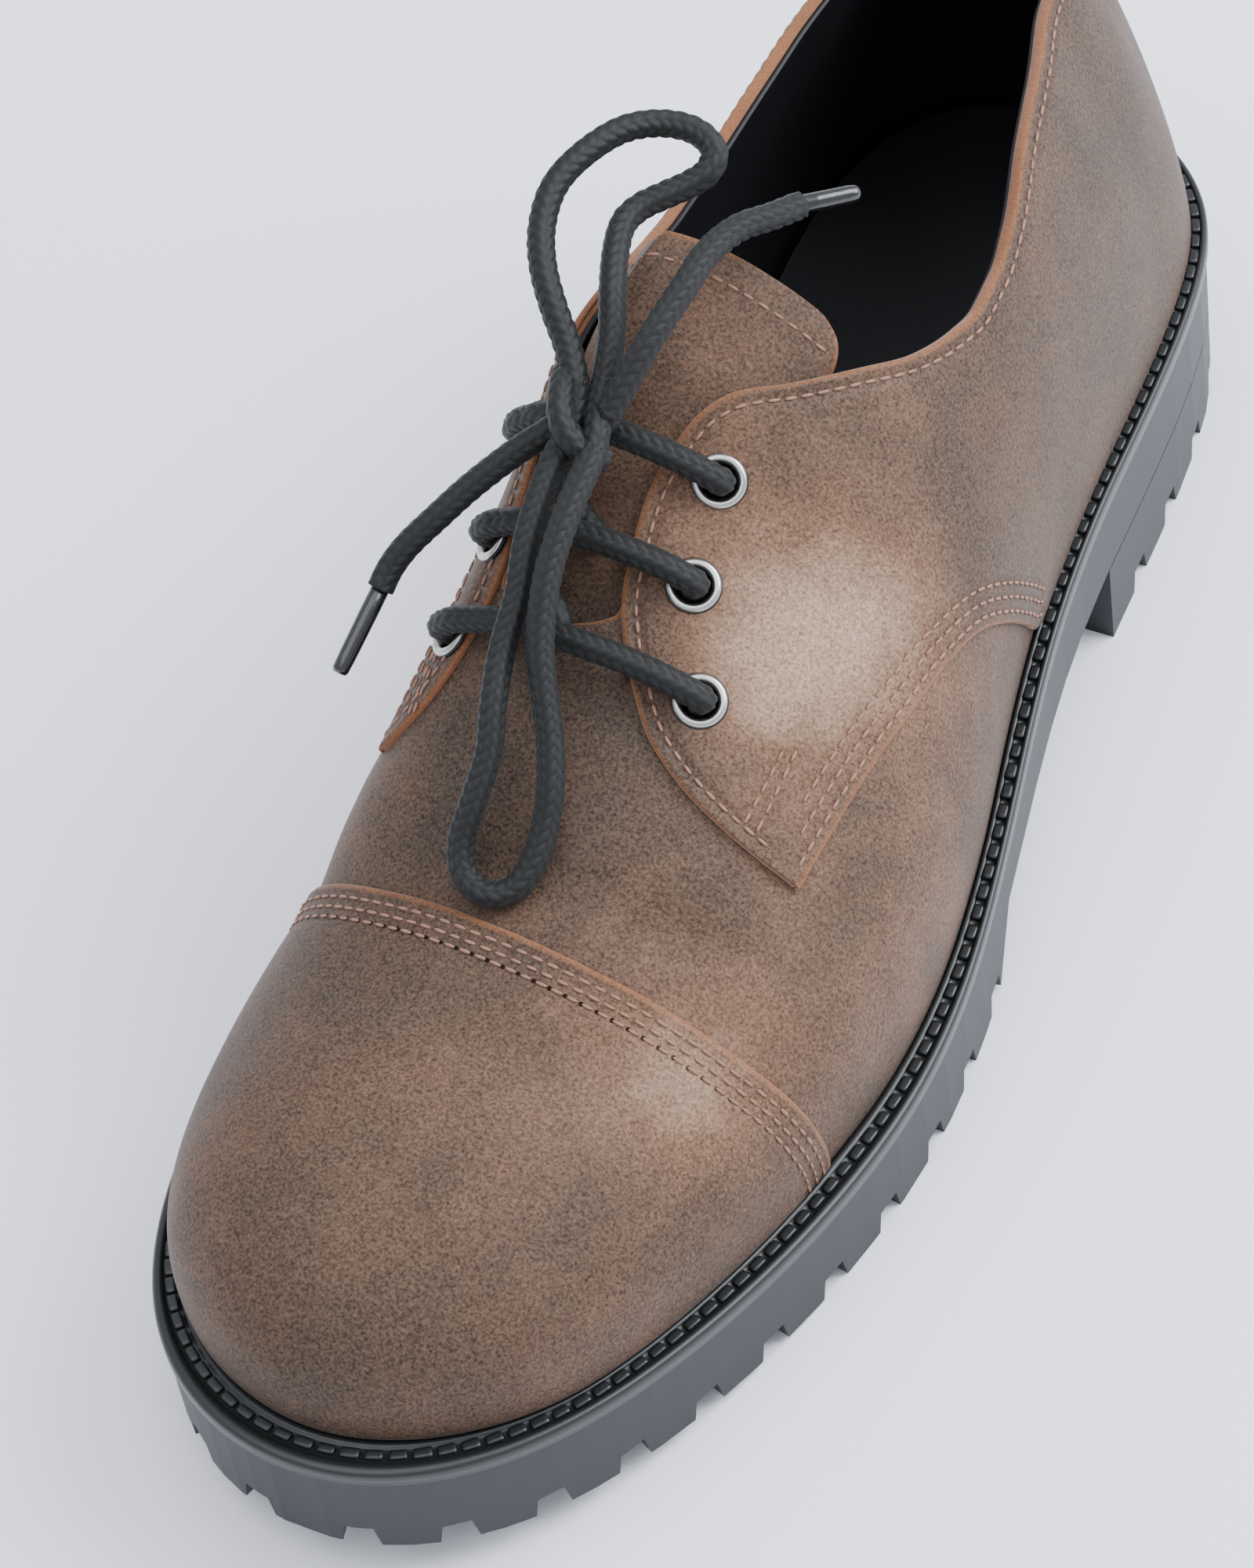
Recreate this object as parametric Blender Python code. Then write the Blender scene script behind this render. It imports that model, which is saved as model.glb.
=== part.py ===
"""Left derby shoe with a toe cap, on a lugged rubber sole.

Metres, +Z up. The toe points along -Y, the outer side of the foot is +X, and the shoe stands on
Z = 0 with the origin under the middle of its outsole.
"""
import math

import bmesh
import bpy
import numpy as np
from mathutils import Matrix, Vector

# Driving sizes
LENGTH = 0.3024            # outsole, heel to toe
BALL_WIDTH = 0.1065        # outsole, across the ball
HEEL_RISE = 0.0336         # top of the sole above the floor at the heel
FOREPART = 0.0180          # thickness of the sole under the ball
TOE_SPRING = 0.0090        # lift of the toe
HEEL_BLOCK = 0.0178        # height of the separate heel block
HEEL_LENGTH = 0.0875       # back of the heel to its breast
WAIST_LIFT = 0.0172        # underside of the waist above the floor, at the heel breast
WAIST_FALL = 0.0046        # how much lower the underside is where the tread starts
TREAD_START = 0.1545       # from the back of the heel
WELT_THICKNESS = 0.0030
WELT_LIP = 0.0004          # how far the welt stands out over the sole's side
WALL = 0.0019              # upper and its lining
OVERLAY = 0.0014           # second layer of leather on quarters and toe cap
OVERLAY_GRIP = 0.0009      # how deep an overlay is let into the wall
CONE_HEIGHT = 0.1200       # ridge of the closed last above the floor
INSOLE = 0.0028
INSOLE_GAP = 0.0012            # round the insole, as the upper's foot leans in above it
TONGUE = 0.0019
TONGUE_DIP = 0.0010             # how much lower it runs under the vamp
TONGUE_GAP = 0.0007            # between the tongue and the lining above it
CLEARANCE = 0.0003

# Tread
LUG_PITCH = 0.0155
LUG_GAP = 0.0062           # at the floor
LUG_GAP_ROOT = 0.0046
LUG_DEPTH = 0.0045
LUG_REACH = 0.0150         # how far a side lug reaches inwards
CHANNEL = 0.0040           # groove between side lugs and middle lugs

# Lacing
EYELET_BORE = 0.0054
EYELET_TUBE = 0.0064
EYELET_RING = 0.0091
EYELET_RISE = 0.0008
LACE = 0.0046

# Resolution
PAIRS = 30                 # stations on each side of the last
OVERLAP = 0.008            # how far the quarters' edge passes the lining's, share of the girth
ROWS = 7                   # rows from the feather to the edge or the ridge

# Outline of the outsole, sides as shares of the ball width
# share of length, medial side, lateral side
OUTLINE = (
    (0.017, 0.224, 0.136),
    (0.067, 0.336, 0.284),
    (0.146, 0.382, 0.345),
    (0.250, 0.364, 0.365),
    (0.371, 0.325, 0.389),
    (0.500, 0.334, 0.454),
    (0.629, 0.428, 0.500),
    (0.750, 0.498, 0.462),
    (0.854, 0.474, 0.373),
    (0.933, 0.383, 0.259),
    (0.983, 0.235, 0.113),
)
HEEL_POINT = -0.054        # sideways place of the last point at the heel, share of the ball width
TOE_POINT = -0.057         # the same at the toe

# Rise of the sole's top from ball to heel
# share of length, share of the rise
RISE = ((0.0, 0.97), (0.12, 1.0), (0.27, 1.0), (0.38, 0.82), (0.435, 0.66), (0.50, 0.41),
        (0.60, 0.09), (0.68, 0.0), (1.0, 0.0))

# The last: a row for each section
# share of length, welt width (mm), ridge height, ridge aside, lateral fullness, medial fullness,
# swell (mm). The height is a share of CONE_HEIGHT, the side a share of BALL_WIDTH
LAST = (
    (0.00, 3.9, 1.02, -0.046, 2.25, 2.30, -1.0),
    (0.07, 3.9, 1.02, -0.055, 1.60, 1.80, -0.9),
    (0.14, 3.9, 1.02, -0.075, 1.65, 1.60, -0.6),
    (0.20, 3.9, 1.01, -0.087, 1.90, 1.70, 0.2),
    (0.27, 3.8, 1.00, -0.087, 2.10, 2.00, 0.6),
    (0.33, 3.7, 1.00, -0.095, 2.00, 2.40, 1.1),
    (0.40, 3.7, 0.97, -0.160, 1.90, 2.75, 2.0),
    (0.45, 3.7, 0.91, -0.205, 1.87, 2.90, 2.9),
    (0.50, 3.6, 0.81, -0.185, 1.85, 3.05, 3.8),
    (0.55, 3.9, 0.74, -0.145, 1.87, 3.00, 3.7),
    (0.59, 4.3, 0.69, -0.120, 1.90, 2.90, 3.6),
    (0.67, 5.1, 0.595, -0.100, 2.05, 2.45, 3.4),
    (0.73, 5.5, 0.52, -0.088, 2.20, 2.03, 2.6),
    (0.80, 5.4, 0.475, -0.090, 2.23, 2.03, 2.2),
    (0.90, 5.0, 0.42, -0.095, 2.30, 2.30, 2.2),
    (1.00, 7.9, 0.335, -0.100, 2.35, 2.65, 2.2),
)
LAST_COLUMNS = ("share", "welt", "ridge", "aside", "lateral", "medial", "swell")
HEEL_POLE = 0.130          # ends of the ridge, shares of the length
TOE_POLE = 0.777
POLE_SOFTNESS = 0.020
CROWN = (0.0, -0.42, 0.91)     # way that the skin thickens over the toe

# Collar and throat edge of the upper: how far up the girth it lies, 0 feather and 1 ridge
# share of length, lateral, medial
COLLAR = (
    (0.000, 0.500, 0.500),
    (0.040, 0.535, 0.525),
    (0.075, 0.570, 0.545),
    (0.130, 0.585, 0.555),
    (0.185, 0.560, 0.545),
    (0.235, 0.530, 0.520),
    (0.285, 0.478, 0.475),
    (0.310, 0.463, 0.448),
    (0.335, 0.465, 0.440),
    (0.355, 0.484, 0.450),
    (0.385, 0.530, 0.485),
    (0.415, 0.604, 0.540),
    (0.440, 0.680, 0.600),
    (0.460, 0.760, 0.655),
    (0.480, 0.812, 0.695),
    (0.500, 0.845, 0.715),
    (0.530, 0.875, 0.730),
    (0.560, 0.890, 0.745),
    (0.572, 0.900, 0.765),
    (0.580, 0.940, 0.860),
    (0.586, 1.000, 1.000),
)
# Quarters: front edge from the throat down to the tip, and seam from the tip down to the welt
# share of length, lateral, medial
FACING = (
    (0.572, 0.893, 0.745),
    (0.590, 0.872, 0.735),
    (0.606, 0.840, 0.715),
    (0.618, 0.812, 0.690),
    (0.629, 0.770, 0.655),
    (0.637, 0.724, 0.615),
    (0.643, 0.665, 0.570),
    (0.647, 0.585, 0.530),
    (0.648, 0.515, 0.500),
)
SEAM = (
    (0.375, 0.006, 0.006),
    (0.390, 0.030, 0.030),
    (0.405, 0.085, 0.085),
    (0.430, 0.176, 0.176),
    (0.455, 0.255, 0.255),
    (0.480, 0.318, 0.318),
    (0.500, 0.358, 0.355),
    (0.530, 0.400, 0.395),
    (0.560, 0.440, 0.430),
    (0.590, 0.470, 0.458),
    (0.620, 0.492, 0.478),
    (0.648, 0.508, 0.492),
)
# Rear edge of the toe cap: girth, then shares of length on the lateral and medial side
CAP_EDGE = (
    (0.00, 0.722, 0.700),
    (0.25, 0.731, 0.706),
    (0.50, 0.736, 0.716),
    (0.75, 0.735, 0.726),
    (1.00, 0.732, 0.732),
)
# Eyelets: share of length, girth on the lateral side, girth on the medial side
EYELETS = ((0.494, 0.761, 0.640), (0.545, 0.780, 0.655), (0.594, 0.742, 0.640))


# Free stretches of the lace, mm, points chosen along the middle of the cord
FRONT_LOOP = (
    (-18.5, -9.0, 105.5), (-18.8, -14.0, 103.6), (-18.2, -23.4, 99.6), (-16.9, -31.1, 94.5),
    (-16.5, -38.6, 90.0), (-14.9, -46.1, 86.0), (-13.6, -51.6, 81.5), (-13.9, -57.5, 76.5),
    (-14.6, -62.0, 71.5), (-12.9, -65.6, 68.0), (-8.8, -67.0, 66.5), (-4.9, -64.9, 66.8),
    (-3.0, -60.3, 69.6), (-2.9, -55.4, 73.5), (-3.6, -51.3, 77.5), (-5.6, -46.2, 82.0),
    (-8.3, -41.4, 87.0), (-10.6, -36.7, 92.0), (-12.2, -29.3, 98.2), (-12.6, -21.2, 102.8),
    (-12.5, -13.0, 105.8), (-12.6, -9.0, 106.8),
)
BACK_LOOP = (
    (-19.2, -1.0, 109.8), (-22.8, 4.0, 113.0), (-26.7, 7.9, 117.0), (-30.3, 12.5, 120.0),
    (-33.1, 18.4, 122.0), (-34.0, 25.0, 124.0), (-32.4, 31.7, 125.0), (-28.9, 38.9, 125.0),
    (-24.2, 43.3, 124.0), (-18.8, 44.6, 123.0), (-14.8, 43.0, 121.5), (-14.5, 39.9, 120.0),
    (-16.5, 37.2, 119.0), (-19.3, 34.3, 118.5), (-22.4, 30.7, 118.0), (-23.4, 26.5, 117.8),
    (-21.9, 20.5, 117.3), (-19.6, 14.4, 116.0), (-17.3, 8.4, 112.9), (-15.6, 1.5, 109.6),
)
LEFT_END = (
    (-21.5, -6.0, 105.0), (-25.0, -9.3, 103.2), (-28.3, -13.0, 101.2), (-31.9, -17.0, 98.5),
    (-35.4, -21.6, 95.5), (-39.0, -25.9, 92.0), (-40.9, -29.0, 89.2), (-41.6, -32.0, 87.0),
)
RIGHT_END = (
    (-12.8, -3.5, 109.2), (-10.9, 0.7, 113.2), (-9.1, 6.8, 117.5), (-7.5, 15.4, 120.0),
    (-6.7, 22.6, 121.0), (-4.7, 29.6, 120.5), (-1.3, 35.2, 119.0), (1.1, 40.1, 117.5),
)
LEFT_TIP = (-43.0, -46.0, 81.0)
RIGHT_TIP = (8.0, 47.6, 115.5)
KNOT_CENTRE = (-16.6, -4.4, 106.6)
KNOT_HALF = (6.6, 6.4, 5.0)
AGLET = 0.0030             # diameter of the hard lace tips


# Stations of the quarters, shares of length, close together where their edges turn
QUARTER_STATIONS = (
    0.016, 0.040, 0.075, 0.115, 0.155, 0.195, 0.235, 0.270, 0.300, 0.325, 0.348, 0.368, 0.388,
    0.405, 0.420, 0.435, 0.450, 0.466, 0.484, 0.515, 0.548, 0.572, 0.586, 0.602, 0.617, 0.630,
    0.639, 0.6445, 0.648)


# Curves through tables
def smooth(rows, column, at):
    """Monotone cubic through two columns of a table."""
    table = np.asarray(rows, float)
    x = table[:, 0]
    y = table[:, column]
    h = np.diff(x)
    d = np.diff(y) / h
    m = np.zeros_like(y)
    m[0], m[-1] = d[0], d[-1]
    for i in range(1, len(x) - 1):
        if d[i - 1] * d[i] > 0:
            w1 = 2 * h[i] + h[i - 1]
            w2 = h[i] + 2 * h[i - 1]
            m[i] = (w1 + w2) / (w1 / d[i - 1] + w2 / d[i])
    at = np.clip(np.asarray(at, float), x[0], x[-1])
    i = np.clip(np.searchsorted(x, at, side="right") - 1, 0, len(x) - 2)
    u = (at - x[i]) / h[i]
    return (y[i] * (1 + 2 * u) * (1 - u) ** 2 + m[i] * h[i] * u * (1 - u) ** 2
            + y[i + 1] * u * u * (3 - 2 * u) + m[i + 1] * h[i] * u * u * (u - 1))


def closed_spline(knots, values, at):
    """Periodic cubic over one turn, for the outline."""
    n = len(knots)
    h = np.diff(np.append(knots, knots[0] + 2 * math.pi))
    v = np.append(values, values[0])
    a = np.zeros((n, n))
    r = np.zeros(n)
    for i in range(n):
        a[i, i - 1] += h[i - 1]
        a[i, i] += 2 * (h[i - 1] + h[i])
        a[i, (i + 1) % n] += h[i]
        r[i] = 6 * ((v[i + 1] - v[i]) / h[i] - (v[i] - v[i - 1 if i else n - 1]) / h[i - 1])
    m = np.linalg.solve(a, r)
    m = np.append(m, m[0])
    at = np.mod(at - knots[0], 2 * math.pi) + knots[0]
    edges = np.append(knots, knots[0] + 2 * math.pi)
    i = np.clip(np.searchsorted(edges, at, side="right") - 1, 0, n - 1)
    p = (edges[i + 1] - at) / h[i]
    q = 1 - p
    return p * v[i] + q * v[i + 1] + ((p ** 3 - p) * m[i] + (q ** 3 - q) * m[i + 1]) * h[i] ** 2 / 6


def side_angle(share):
    """Angle of a station: 0 at the heel, half a turn at the toe."""
    return np.arccos(np.clip(1 - 2 * np.asarray(share, float), -1, 1))


def sole_outline(angle):
    """Outline of the outsole; angles up to half a turn are the lateral side."""
    shares = [row[0] for row in OUTLINE]
    knots = [0.0] + [float(side_angle(s)) for s in shares] + [math.pi]
    knots += [2 * math.pi - float(side_angle(s)) for s in reversed(shares)]
    values = [HEEL_POINT] + [row[2] for row in OUTLINE] + [TOE_POINT]
    values += [-row[1] for row in reversed(OUTLINE)]
    x = closed_spline(np.array(knots), np.array(values), np.asarray(angle, float)) * BALL_WIDTH
    share = (1 - np.cos(angle)) / 2
    return x, LENGTH / 2 - share * LENGTH


def last_column(name, share):
    return smooth(LAST, LAST_COLUMNS.index(name), share)


def share_of(y):
    return (LENGTH / 2 - y) / LENGTH


def inset_ring(pairs, inset):
    """Outline moved inwards, with its stations in pairs that face each other.

    inset is a function of the share of length, in metres. Stations run from the heel along the
    lateral side to the toe and back along the medial side.
    """
    dense = np.linspace(0, 2 * math.pi, 721)[:-1]
    x, y = sole_outline(dense)
    dx = np.roll(x, -1) - np.roll(x, 1)
    dy = np.roll(y, -1) - np.roll(y, 1)
    size = np.hypot(dx, dy)
    depth = inset(share_of(y))
    x = x + depth * dy / size
    y = y - depth * dx / size
    low, high = int(np.argmax(y)), int(np.argmin(y))
    x, y = np.roll(x, -low), np.roll(y, -low)
    high = (high - low) % len(x)
    turn = np.linspace(0, 2 * math.pi, 2 * pairs, endpoint=False)
    place = y[0] + (y[high] - y[0]) * (1 - np.cos(turn)) / 2
    lateral = np.interp(-place, -y[:high + 1], x[:high + 1])
    back_y = np.append(y[high:], y[0])
    back_x = np.append(x[high:], x[0])
    medial = np.interp(place, back_y, back_x)
    return np.where(turn <= math.pi + 1e-9, lateral, medial), place


# Heights of the sole
def spring(share):
    return TOE_SPRING * np.clip((np.asarray(share, float) - 0.68) / 0.32, 0, 1) ** 2


def sole_top(share):
    return FOREPART + (HEEL_RISE - FOREPART) * smooth(RISE, 1, share) + spring(share)


def feather_height(share):
    """Where the upper leaves the welt."""
    return sole_top(share) + WELT_THICKNESS + 2 * CLEARANCE


# Surface of the last
def feather_point(share, side):
    """Feather point of a station, by its own share of the feather's length."""
    ring_x, ring_y = FEATHER
    half = len(ring_x) // 2
    heel, toe = ring_y[0], ring_y[half]
    y = heel + (toe - heel) * np.asarray(share, float)
    order = np.append(ring_y[half:], ring_y[0])
    medial = np.interp(y, order, np.append(ring_x[half:], ring_x[0]))
    lateral = np.interp(-y, -ring_y[:half + 1], ring_x[:half + 1])
    return np.where(side > 0, lateral, medial), y


def soft_clamp(value):
    """Keeps the ridge point between its two poles, softly."""
    soft = POLE_SOFTNESS
    capped = TOE_POLE - soft * np.logaddexp(0, (TOE_POLE - value) / soft)
    return HEEL_POLE + soft * np.logaddexp(0, (capped - HEEL_POLE) / soft)


def bare_surface(share, side, girth):
    """Point of the last: girth runs from 0 at the feather to 1 on the ridge."""
    fx, fy = feather_point(share, side)
    along = share_of(fy)
    ridge_at = soft_clamp(along)
    ridge_x = last_column("aside", ridge_at) * BALL_WIDTH
    ridge_y = LENGTH / 2 - ridge_at * LENGTH
    ridge_z = last_column("ridge", ridge_at) * CONE_HEIGHT
    feather_z = feather_height(along)
    blend = np.clip((fx - ridge_x) / 0.024 + 0.5, 0, 1)
    blend = blend * blend * (3 - 2 * blend)
    full = blend * last_column("lateral", along) + (1 - blend) * last_column("medial", along)
    angle = np.clip(girth, 0, 1) * math.pi / 2
    inward = 1 - np.abs(np.cos(angle)) ** (2 / full)
    upward = np.abs(np.sin(angle)) ** (2 / full)
    reach = np.hypot(ridge_x - fx, ridge_y - fy)
    swell = last_column("swell", along) * 0.001
    inward = inward - swell / reach * np.sin(math.pi * np.clip(girth / 0.8, 0, 1))
    x = fx + (ridge_x - fx) * inward
    y = fy + (ridge_y - fy) * inward
    z = feather_z + (ridge_z - feather_z) * upward
    return np.stack([x, y, z], -1)


def last_surface(share, side, girth, lift=0.0):
    """Point of the last moved out along its normal by lift."""
    share, side, girth = np.broadcast_arrays(np.asarray(share, float), side, girth)
    base = bare_surface(share, side, girth)
    if not np.any(lift):
        return base
    total = np.zeros_like(base)
    step = 0.004
    high = np.minimum(girth, 0.985)
    for turn in (1, -1):
        way = side * turn
        here = np.clip(share, step, 1 - step)
        ahead = bare_surface(here + step, way, high) - bare_surface(here - step, way, high)
        above = bare_surface(here, way, np.minimum(high + 0.01, 0.995))
        below = bare_surface(here, way, np.maximum(high - 0.01, 0.0))
        normal = np.cross(above - below, ahead) * way[..., None]
        normal /= np.linalg.norm(normal, axis=-1)[..., None] + 1e-12
        near = np.where(girth > 0.999, 1.0, 0.0) if turn < 0 else 1.0
        ends = np.where((share < 0.004) | (share > 0.996), 1.0, 0.0) if turn < 0 else 0.0
        total += normal * np.maximum(near, ends)[..., None] if turn < 0 else normal
    total /= np.linalg.norm(total, axis=-1)[..., None]
    along = share_of(base[..., 1])
    crown = np.clip((along - 0.715) / 0.045, 0, 1) * np.clip((girth - 0.70) / 0.25, 0, 1)
    crown = (crown * crown * (3 - 2 * crown))[..., None]
    total = total * (1 - crown) + np.array(CROWN) * crown
    foot = np.clip(girth / 0.04, 0, 1)[..., None]
    level = total * np.array([1.0, 1.0, 0.0])
    level /= np.linalg.norm(level, axis=-1)[..., None] + 1e-12
    total = total * foot + level * (1 - foot)
    total /= np.linalg.norm(total, axis=-1)[..., None]
    return base + total * np.asarray(lift)[..., None]


# Meshes
PARTS = None
CUTTERS = None


def fresh_scene():
    global PARTS, CUTTERS
    for item in list(bpy.data.objects):
        bpy.data.objects.remove(item, do_unlink=True)
    PARTS = bpy.data.collections.new("derby_shoe")
    CUTTERS = bpy.data.collections.new("cutters")
    bpy.context.scene.collection.children.link(PARTS)
    bpy.context.scene.collection.children.link(CUTTERS)


def srgb(code):
    out = []
    for i in (1, 3, 5):
        v = int(code[i:i + 2], 16) / 255
        out.append(v / 12.92 if v <= 0.04045 else ((v + 0.055) / 1.055) ** 2.4)
    return (*out, 1.0)


def material(name, colour, roughness, metallic=0.0):
    found = bpy.data.materials.get(name)
    if found:
        return found
    made = bpy.data.materials.new(name)
    made.use_nodes = True
    shader = made.node_tree.nodes["Principled BSDF"]
    shader.inputs["Base Color"].default_value = srgb(colour)
    shader.inputs["Roughness"].default_value = roughness
    shader.inputs["Metallic"].default_value = metallic
    return made


def rubber():
    return material("moulded rubber", "#3a4148", 0.6)


def leather():
    return material("oiled nubuck leather", "#6f584a", 0.75)


def lace_cord():
    return material("braided polyester cord", "#2a2d2b", 0.8)


def new_object(name, vertices, faces, finish=None, cutter=False):
    mesh = bpy.data.meshes.new(name)
    mesh.from_pydata([tuple(v) for v in vertices], [], faces)
    work = bmesh.new()
    work.from_mesh(mesh)
    bmesh.ops.remove_doubles(work, verts=work.verts, dist=2e-6)
    flat = [f for f in work.faces if f.calc_area() < 1e-13]
    if flat:
        bmesh.ops.dissolve_degenerate(work, dist=1e-6, edges=work.edges)
    bmesh.ops.recalc_face_normals(work, faces=work.faces)
    work.to_mesh(mesh)
    work.free()
    thing = bpy.data.objects.new(name, mesh)
    (CUTTERS if cutter else PARTS).objects.link(thing)
    if cutter:
        thing.hide_render = True
        thing.display_type = "WIRE"
    else:
        mesh.materials.append(finish)
    return thing


def grid_faces(rows, columns, start=0, ring=False, flip=False):
    """Quads over a grid of points stored row by row; ring joins the last row to the first."""
    faces = []
    for i in range(rows if ring else rows - 1):
        k = (i + 1) % rows
        for j in range(columns - 1):
            quad = (start + i * columns + j, start + k * columns + j,
                    start + k * columns + j + 1, start + i * columns + j + 1)
            faces.append(quad[::-1] if flip else quad)
    return faces


def strip(a, b, ring=False):
    """Quads between two rows of vertex numbers."""
    n = len(a)
    return [(a[i], a[(i + 1) % n], b[(i + 1) % n], b[i]) for i in range(n if ring else n - 1)]


def shell(name, outer, inner, ring=False, skirt=0.0, ridge=None, **kind):
    """Closed wall between two grids of the same size (stations by rows).

    ridge marks the stations whose last row lies on the ridge, where both sides meet without a rim.
    """
    rows, columns = outer.shape[:2]
    if skirt:
        drop = np.array([0.0, 0.0, skirt])
        outer = np.concatenate([outer[:, :1] - drop, outer], axis=1)
        inner = np.concatenate([inner[:, :1] - drop, inner], axis=1)
        columns += 1
    count = rows * columns
    vertices = np.concatenate([outer.reshape(-1, 3), inner.reshape(-1, 3)])
    faces = grid_faces(rows, columns, 0, ring) + grid_faces(rows, columns, count, ring, True)
    number = np.arange(2 * count).reshape(2, rows, columns)
    faces += strip(number[0, :, 0], number[1, :, 0], ring)
    rim = strip(number[1, :, -1], number[0, :, -1], ring)
    if ridge is not None:
        rim = [quad for i, quad in enumerate(rim) if not (ridge[i] and ridge[(i + 1) % rows])]
    faces += rim
    if not ring:
        faces += strip(number[1, 0], number[0, 0])
        faces += strip(number[0, -1], number[1, -1])
    return new_object(name, vertices, faces, **kind)


def cut(target, cutter, operation="DIFFERENCE"):
    step = target.modifiers.new(cutter.name, "BOOLEAN")
    step.operation = operation
    step.solver = "EXACT"
    step.object = cutter
    return step


def freeze(target):
    """Applies the modifiers of an object."""
    graph = bpy.context.evaluated_depsgraph_get()
    mesh = bpy.data.meshes.new_from_object(target.evaluated_get(graph))
    old = target.data
    target.modifiers.clear()
    target.data = mesh
    bpy.data.meshes.remove(old)
    return target


# Sole
def section_loft(name, rows, **kind):
    """Solid through four-cornered sections, with flat ends."""
    count = len(rows)
    vertices = [p for row in rows for p in row]
    faces = []
    for i in range(count - 1):
        for j in range(4):
            faces.append((4 * i + j, 4 * i + (j + 1) % 4,
                          4 * i + 4 + (j + 1) % 4, 4 * i + 4 + j))
    faces.append((3, 2, 1, 0))
    last = 4 * (count - 1)
    faces.append((last, last + 1, last + 2, last + 3))
    return new_object(name, vertices, faces, **kind)


def stations_of(pairs, inset, shares):
    """Both sides of an inset outline at chosen shares of the length."""
    x, y = inset_ring(pairs, inset)
    s = share_of(y)
    lateral = np.interp(shares, s[:pairs + 1], x[:pairs + 1])
    back = np.append(s[pairs:], s[0])
    medial = np.interp(-np.asarray(shares), -back, np.append(x[pairs:], x[0]))
    return medial, lateral


def sole_rows(shares, low, high, inset):
    medial, lateral = stations_of(180, inset, shares)
    rows = []
    for s, m, r in zip(shares, medial, lateral):
        y = LENGTH / 2 - s * LENGTH
        rows.append([(m, y, low(s)), (r, y, low(s)), (r, y, high(s)), (m, y, high(s))])
    return rows


def spread(first, last, count):
    """Shares of length that crowd towards heel and toe."""
    a, b = side_angle(first), side_angle(last)
    return (1 - np.cos(np.linspace(a, b, count))) / 2


def outsole_bottom(share):
    if share * LENGTH < TREAD_START:
        start = HEEL_LENGTH / LENGTH
        end = TREAD_START / LENGTH
        u = np.clip((share - start) / (end - start), 0, 1)
        if share < start:
            return HEEL_BLOCK + CLEARANCE
        return WAIST_LIFT + (HEEL_BLOCK + CLEARANCE - WAIST_LIFT) * (1 - u) - WAIST_FALL * u ** 1.6
    return float(spring(share))


def side_marks(inset, first, last, pitch):
    """Places along the side, a pitch apart, with their inward direction."""
    marks = []
    for side in (1, -1):
        dense = np.linspace(side_angle(first), side_angle(last), 400)
        x, y = sole_outline(dense if side > 0 else 2 * math.pi - dense)
        run = np.append(0, np.cumsum(np.hypot(np.diff(x), np.diff(y))))
        count = int(round(run[-1] / pitch))
        for k in range(count):
            at = (k + 0.5) * run[-1] / count
            i = int(np.clip(np.searchsorted(run, at), 2, len(run) - 3))
            way = Vector((x[i + 2] - x[i - 2], y[i + 2] - y[i - 2], 0)).normalized()
            inward = Vector((way.y, -way.x, 0)) if side > 0 else Vector((-way.y, way.x, 0))
            marks.append((Vector((x[i], y[i], 0)), inward, way, float(share_of(y[i]))))
    return marks


def wedge(centre, inward, way, floor, depth, reach, start=-0.004):
    """Trapezoid groove cutter, wider at the floor."""
    lower, upper = floor - 0.002, floor + depth
    slope = (LUG_GAP - LUG_GAP_ROOT) / 2 / depth
    wide = LUG_GAP / 2 + 0.002 * slope
    narrow = LUG_GAP_ROOT / 2
    points = []
    for along in (start, reach):
        base = centre + inward * along
        for half, z in ((-wide, lower), (wide, lower), (narrow, upper), (-narrow, upper)):
            points.append(tuple(base + way * half + Vector((0, 0, z))))
    faces = [(0, 1, 2, 3), (7, 6, 5, 4), (0, 4, 5, 1), (1, 5, 6, 2), (2, 6, 7, 3), (3, 7, 4, 0)]
    return points, faces


def joined_cutter(name, pieces):
    vertices, faces = [], []
    for points, quads in pieces:
        start = len(vertices)
        vertices += points
        faces += [tuple(start + k for k in quad) for quad in quads]
    return new_object(name, vertices, faces, cutter=True)


def make_outsole():
    heel_end = HEEL_LENGTH / LENGTH
    tread = TREAD_START / LENGTH
    shares = np.concatenate([spread(0.0006, heel_end, 13), spread(heel_end + 0.012, tread - 0.004, 7),
                             spread(tread, 0.9992, 26)])
    rows = sole_rows(shares, lambda s: float(outsole_bottom(s)),
                     lambda s: float(sole_top(s)), lambda s: 0 * s)
    sole = section_loft("outsole", rows, finish=rubber())
    grooves = []
    for centre, inward, way, s in side_marks(None, tread + 0.012, 0.9999, LUG_PITCH):
        grooves.append(wedge(centre, inward, way, float(spring(s)), LUG_DEPTH, LUG_REACH))
    cut(sole, joined_cutter("side_lug_cutter", grooves))
    cut(sole, channel_cutter("channel_cutter", tread - 0.01, LUG_REACH - CHANNEL / 2, CHANNEL))
    cut(sole, joined_cutter("cross_cutter", cross_grooves(tread + 0.045, 0.885)))
    return freeze(sole)


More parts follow.
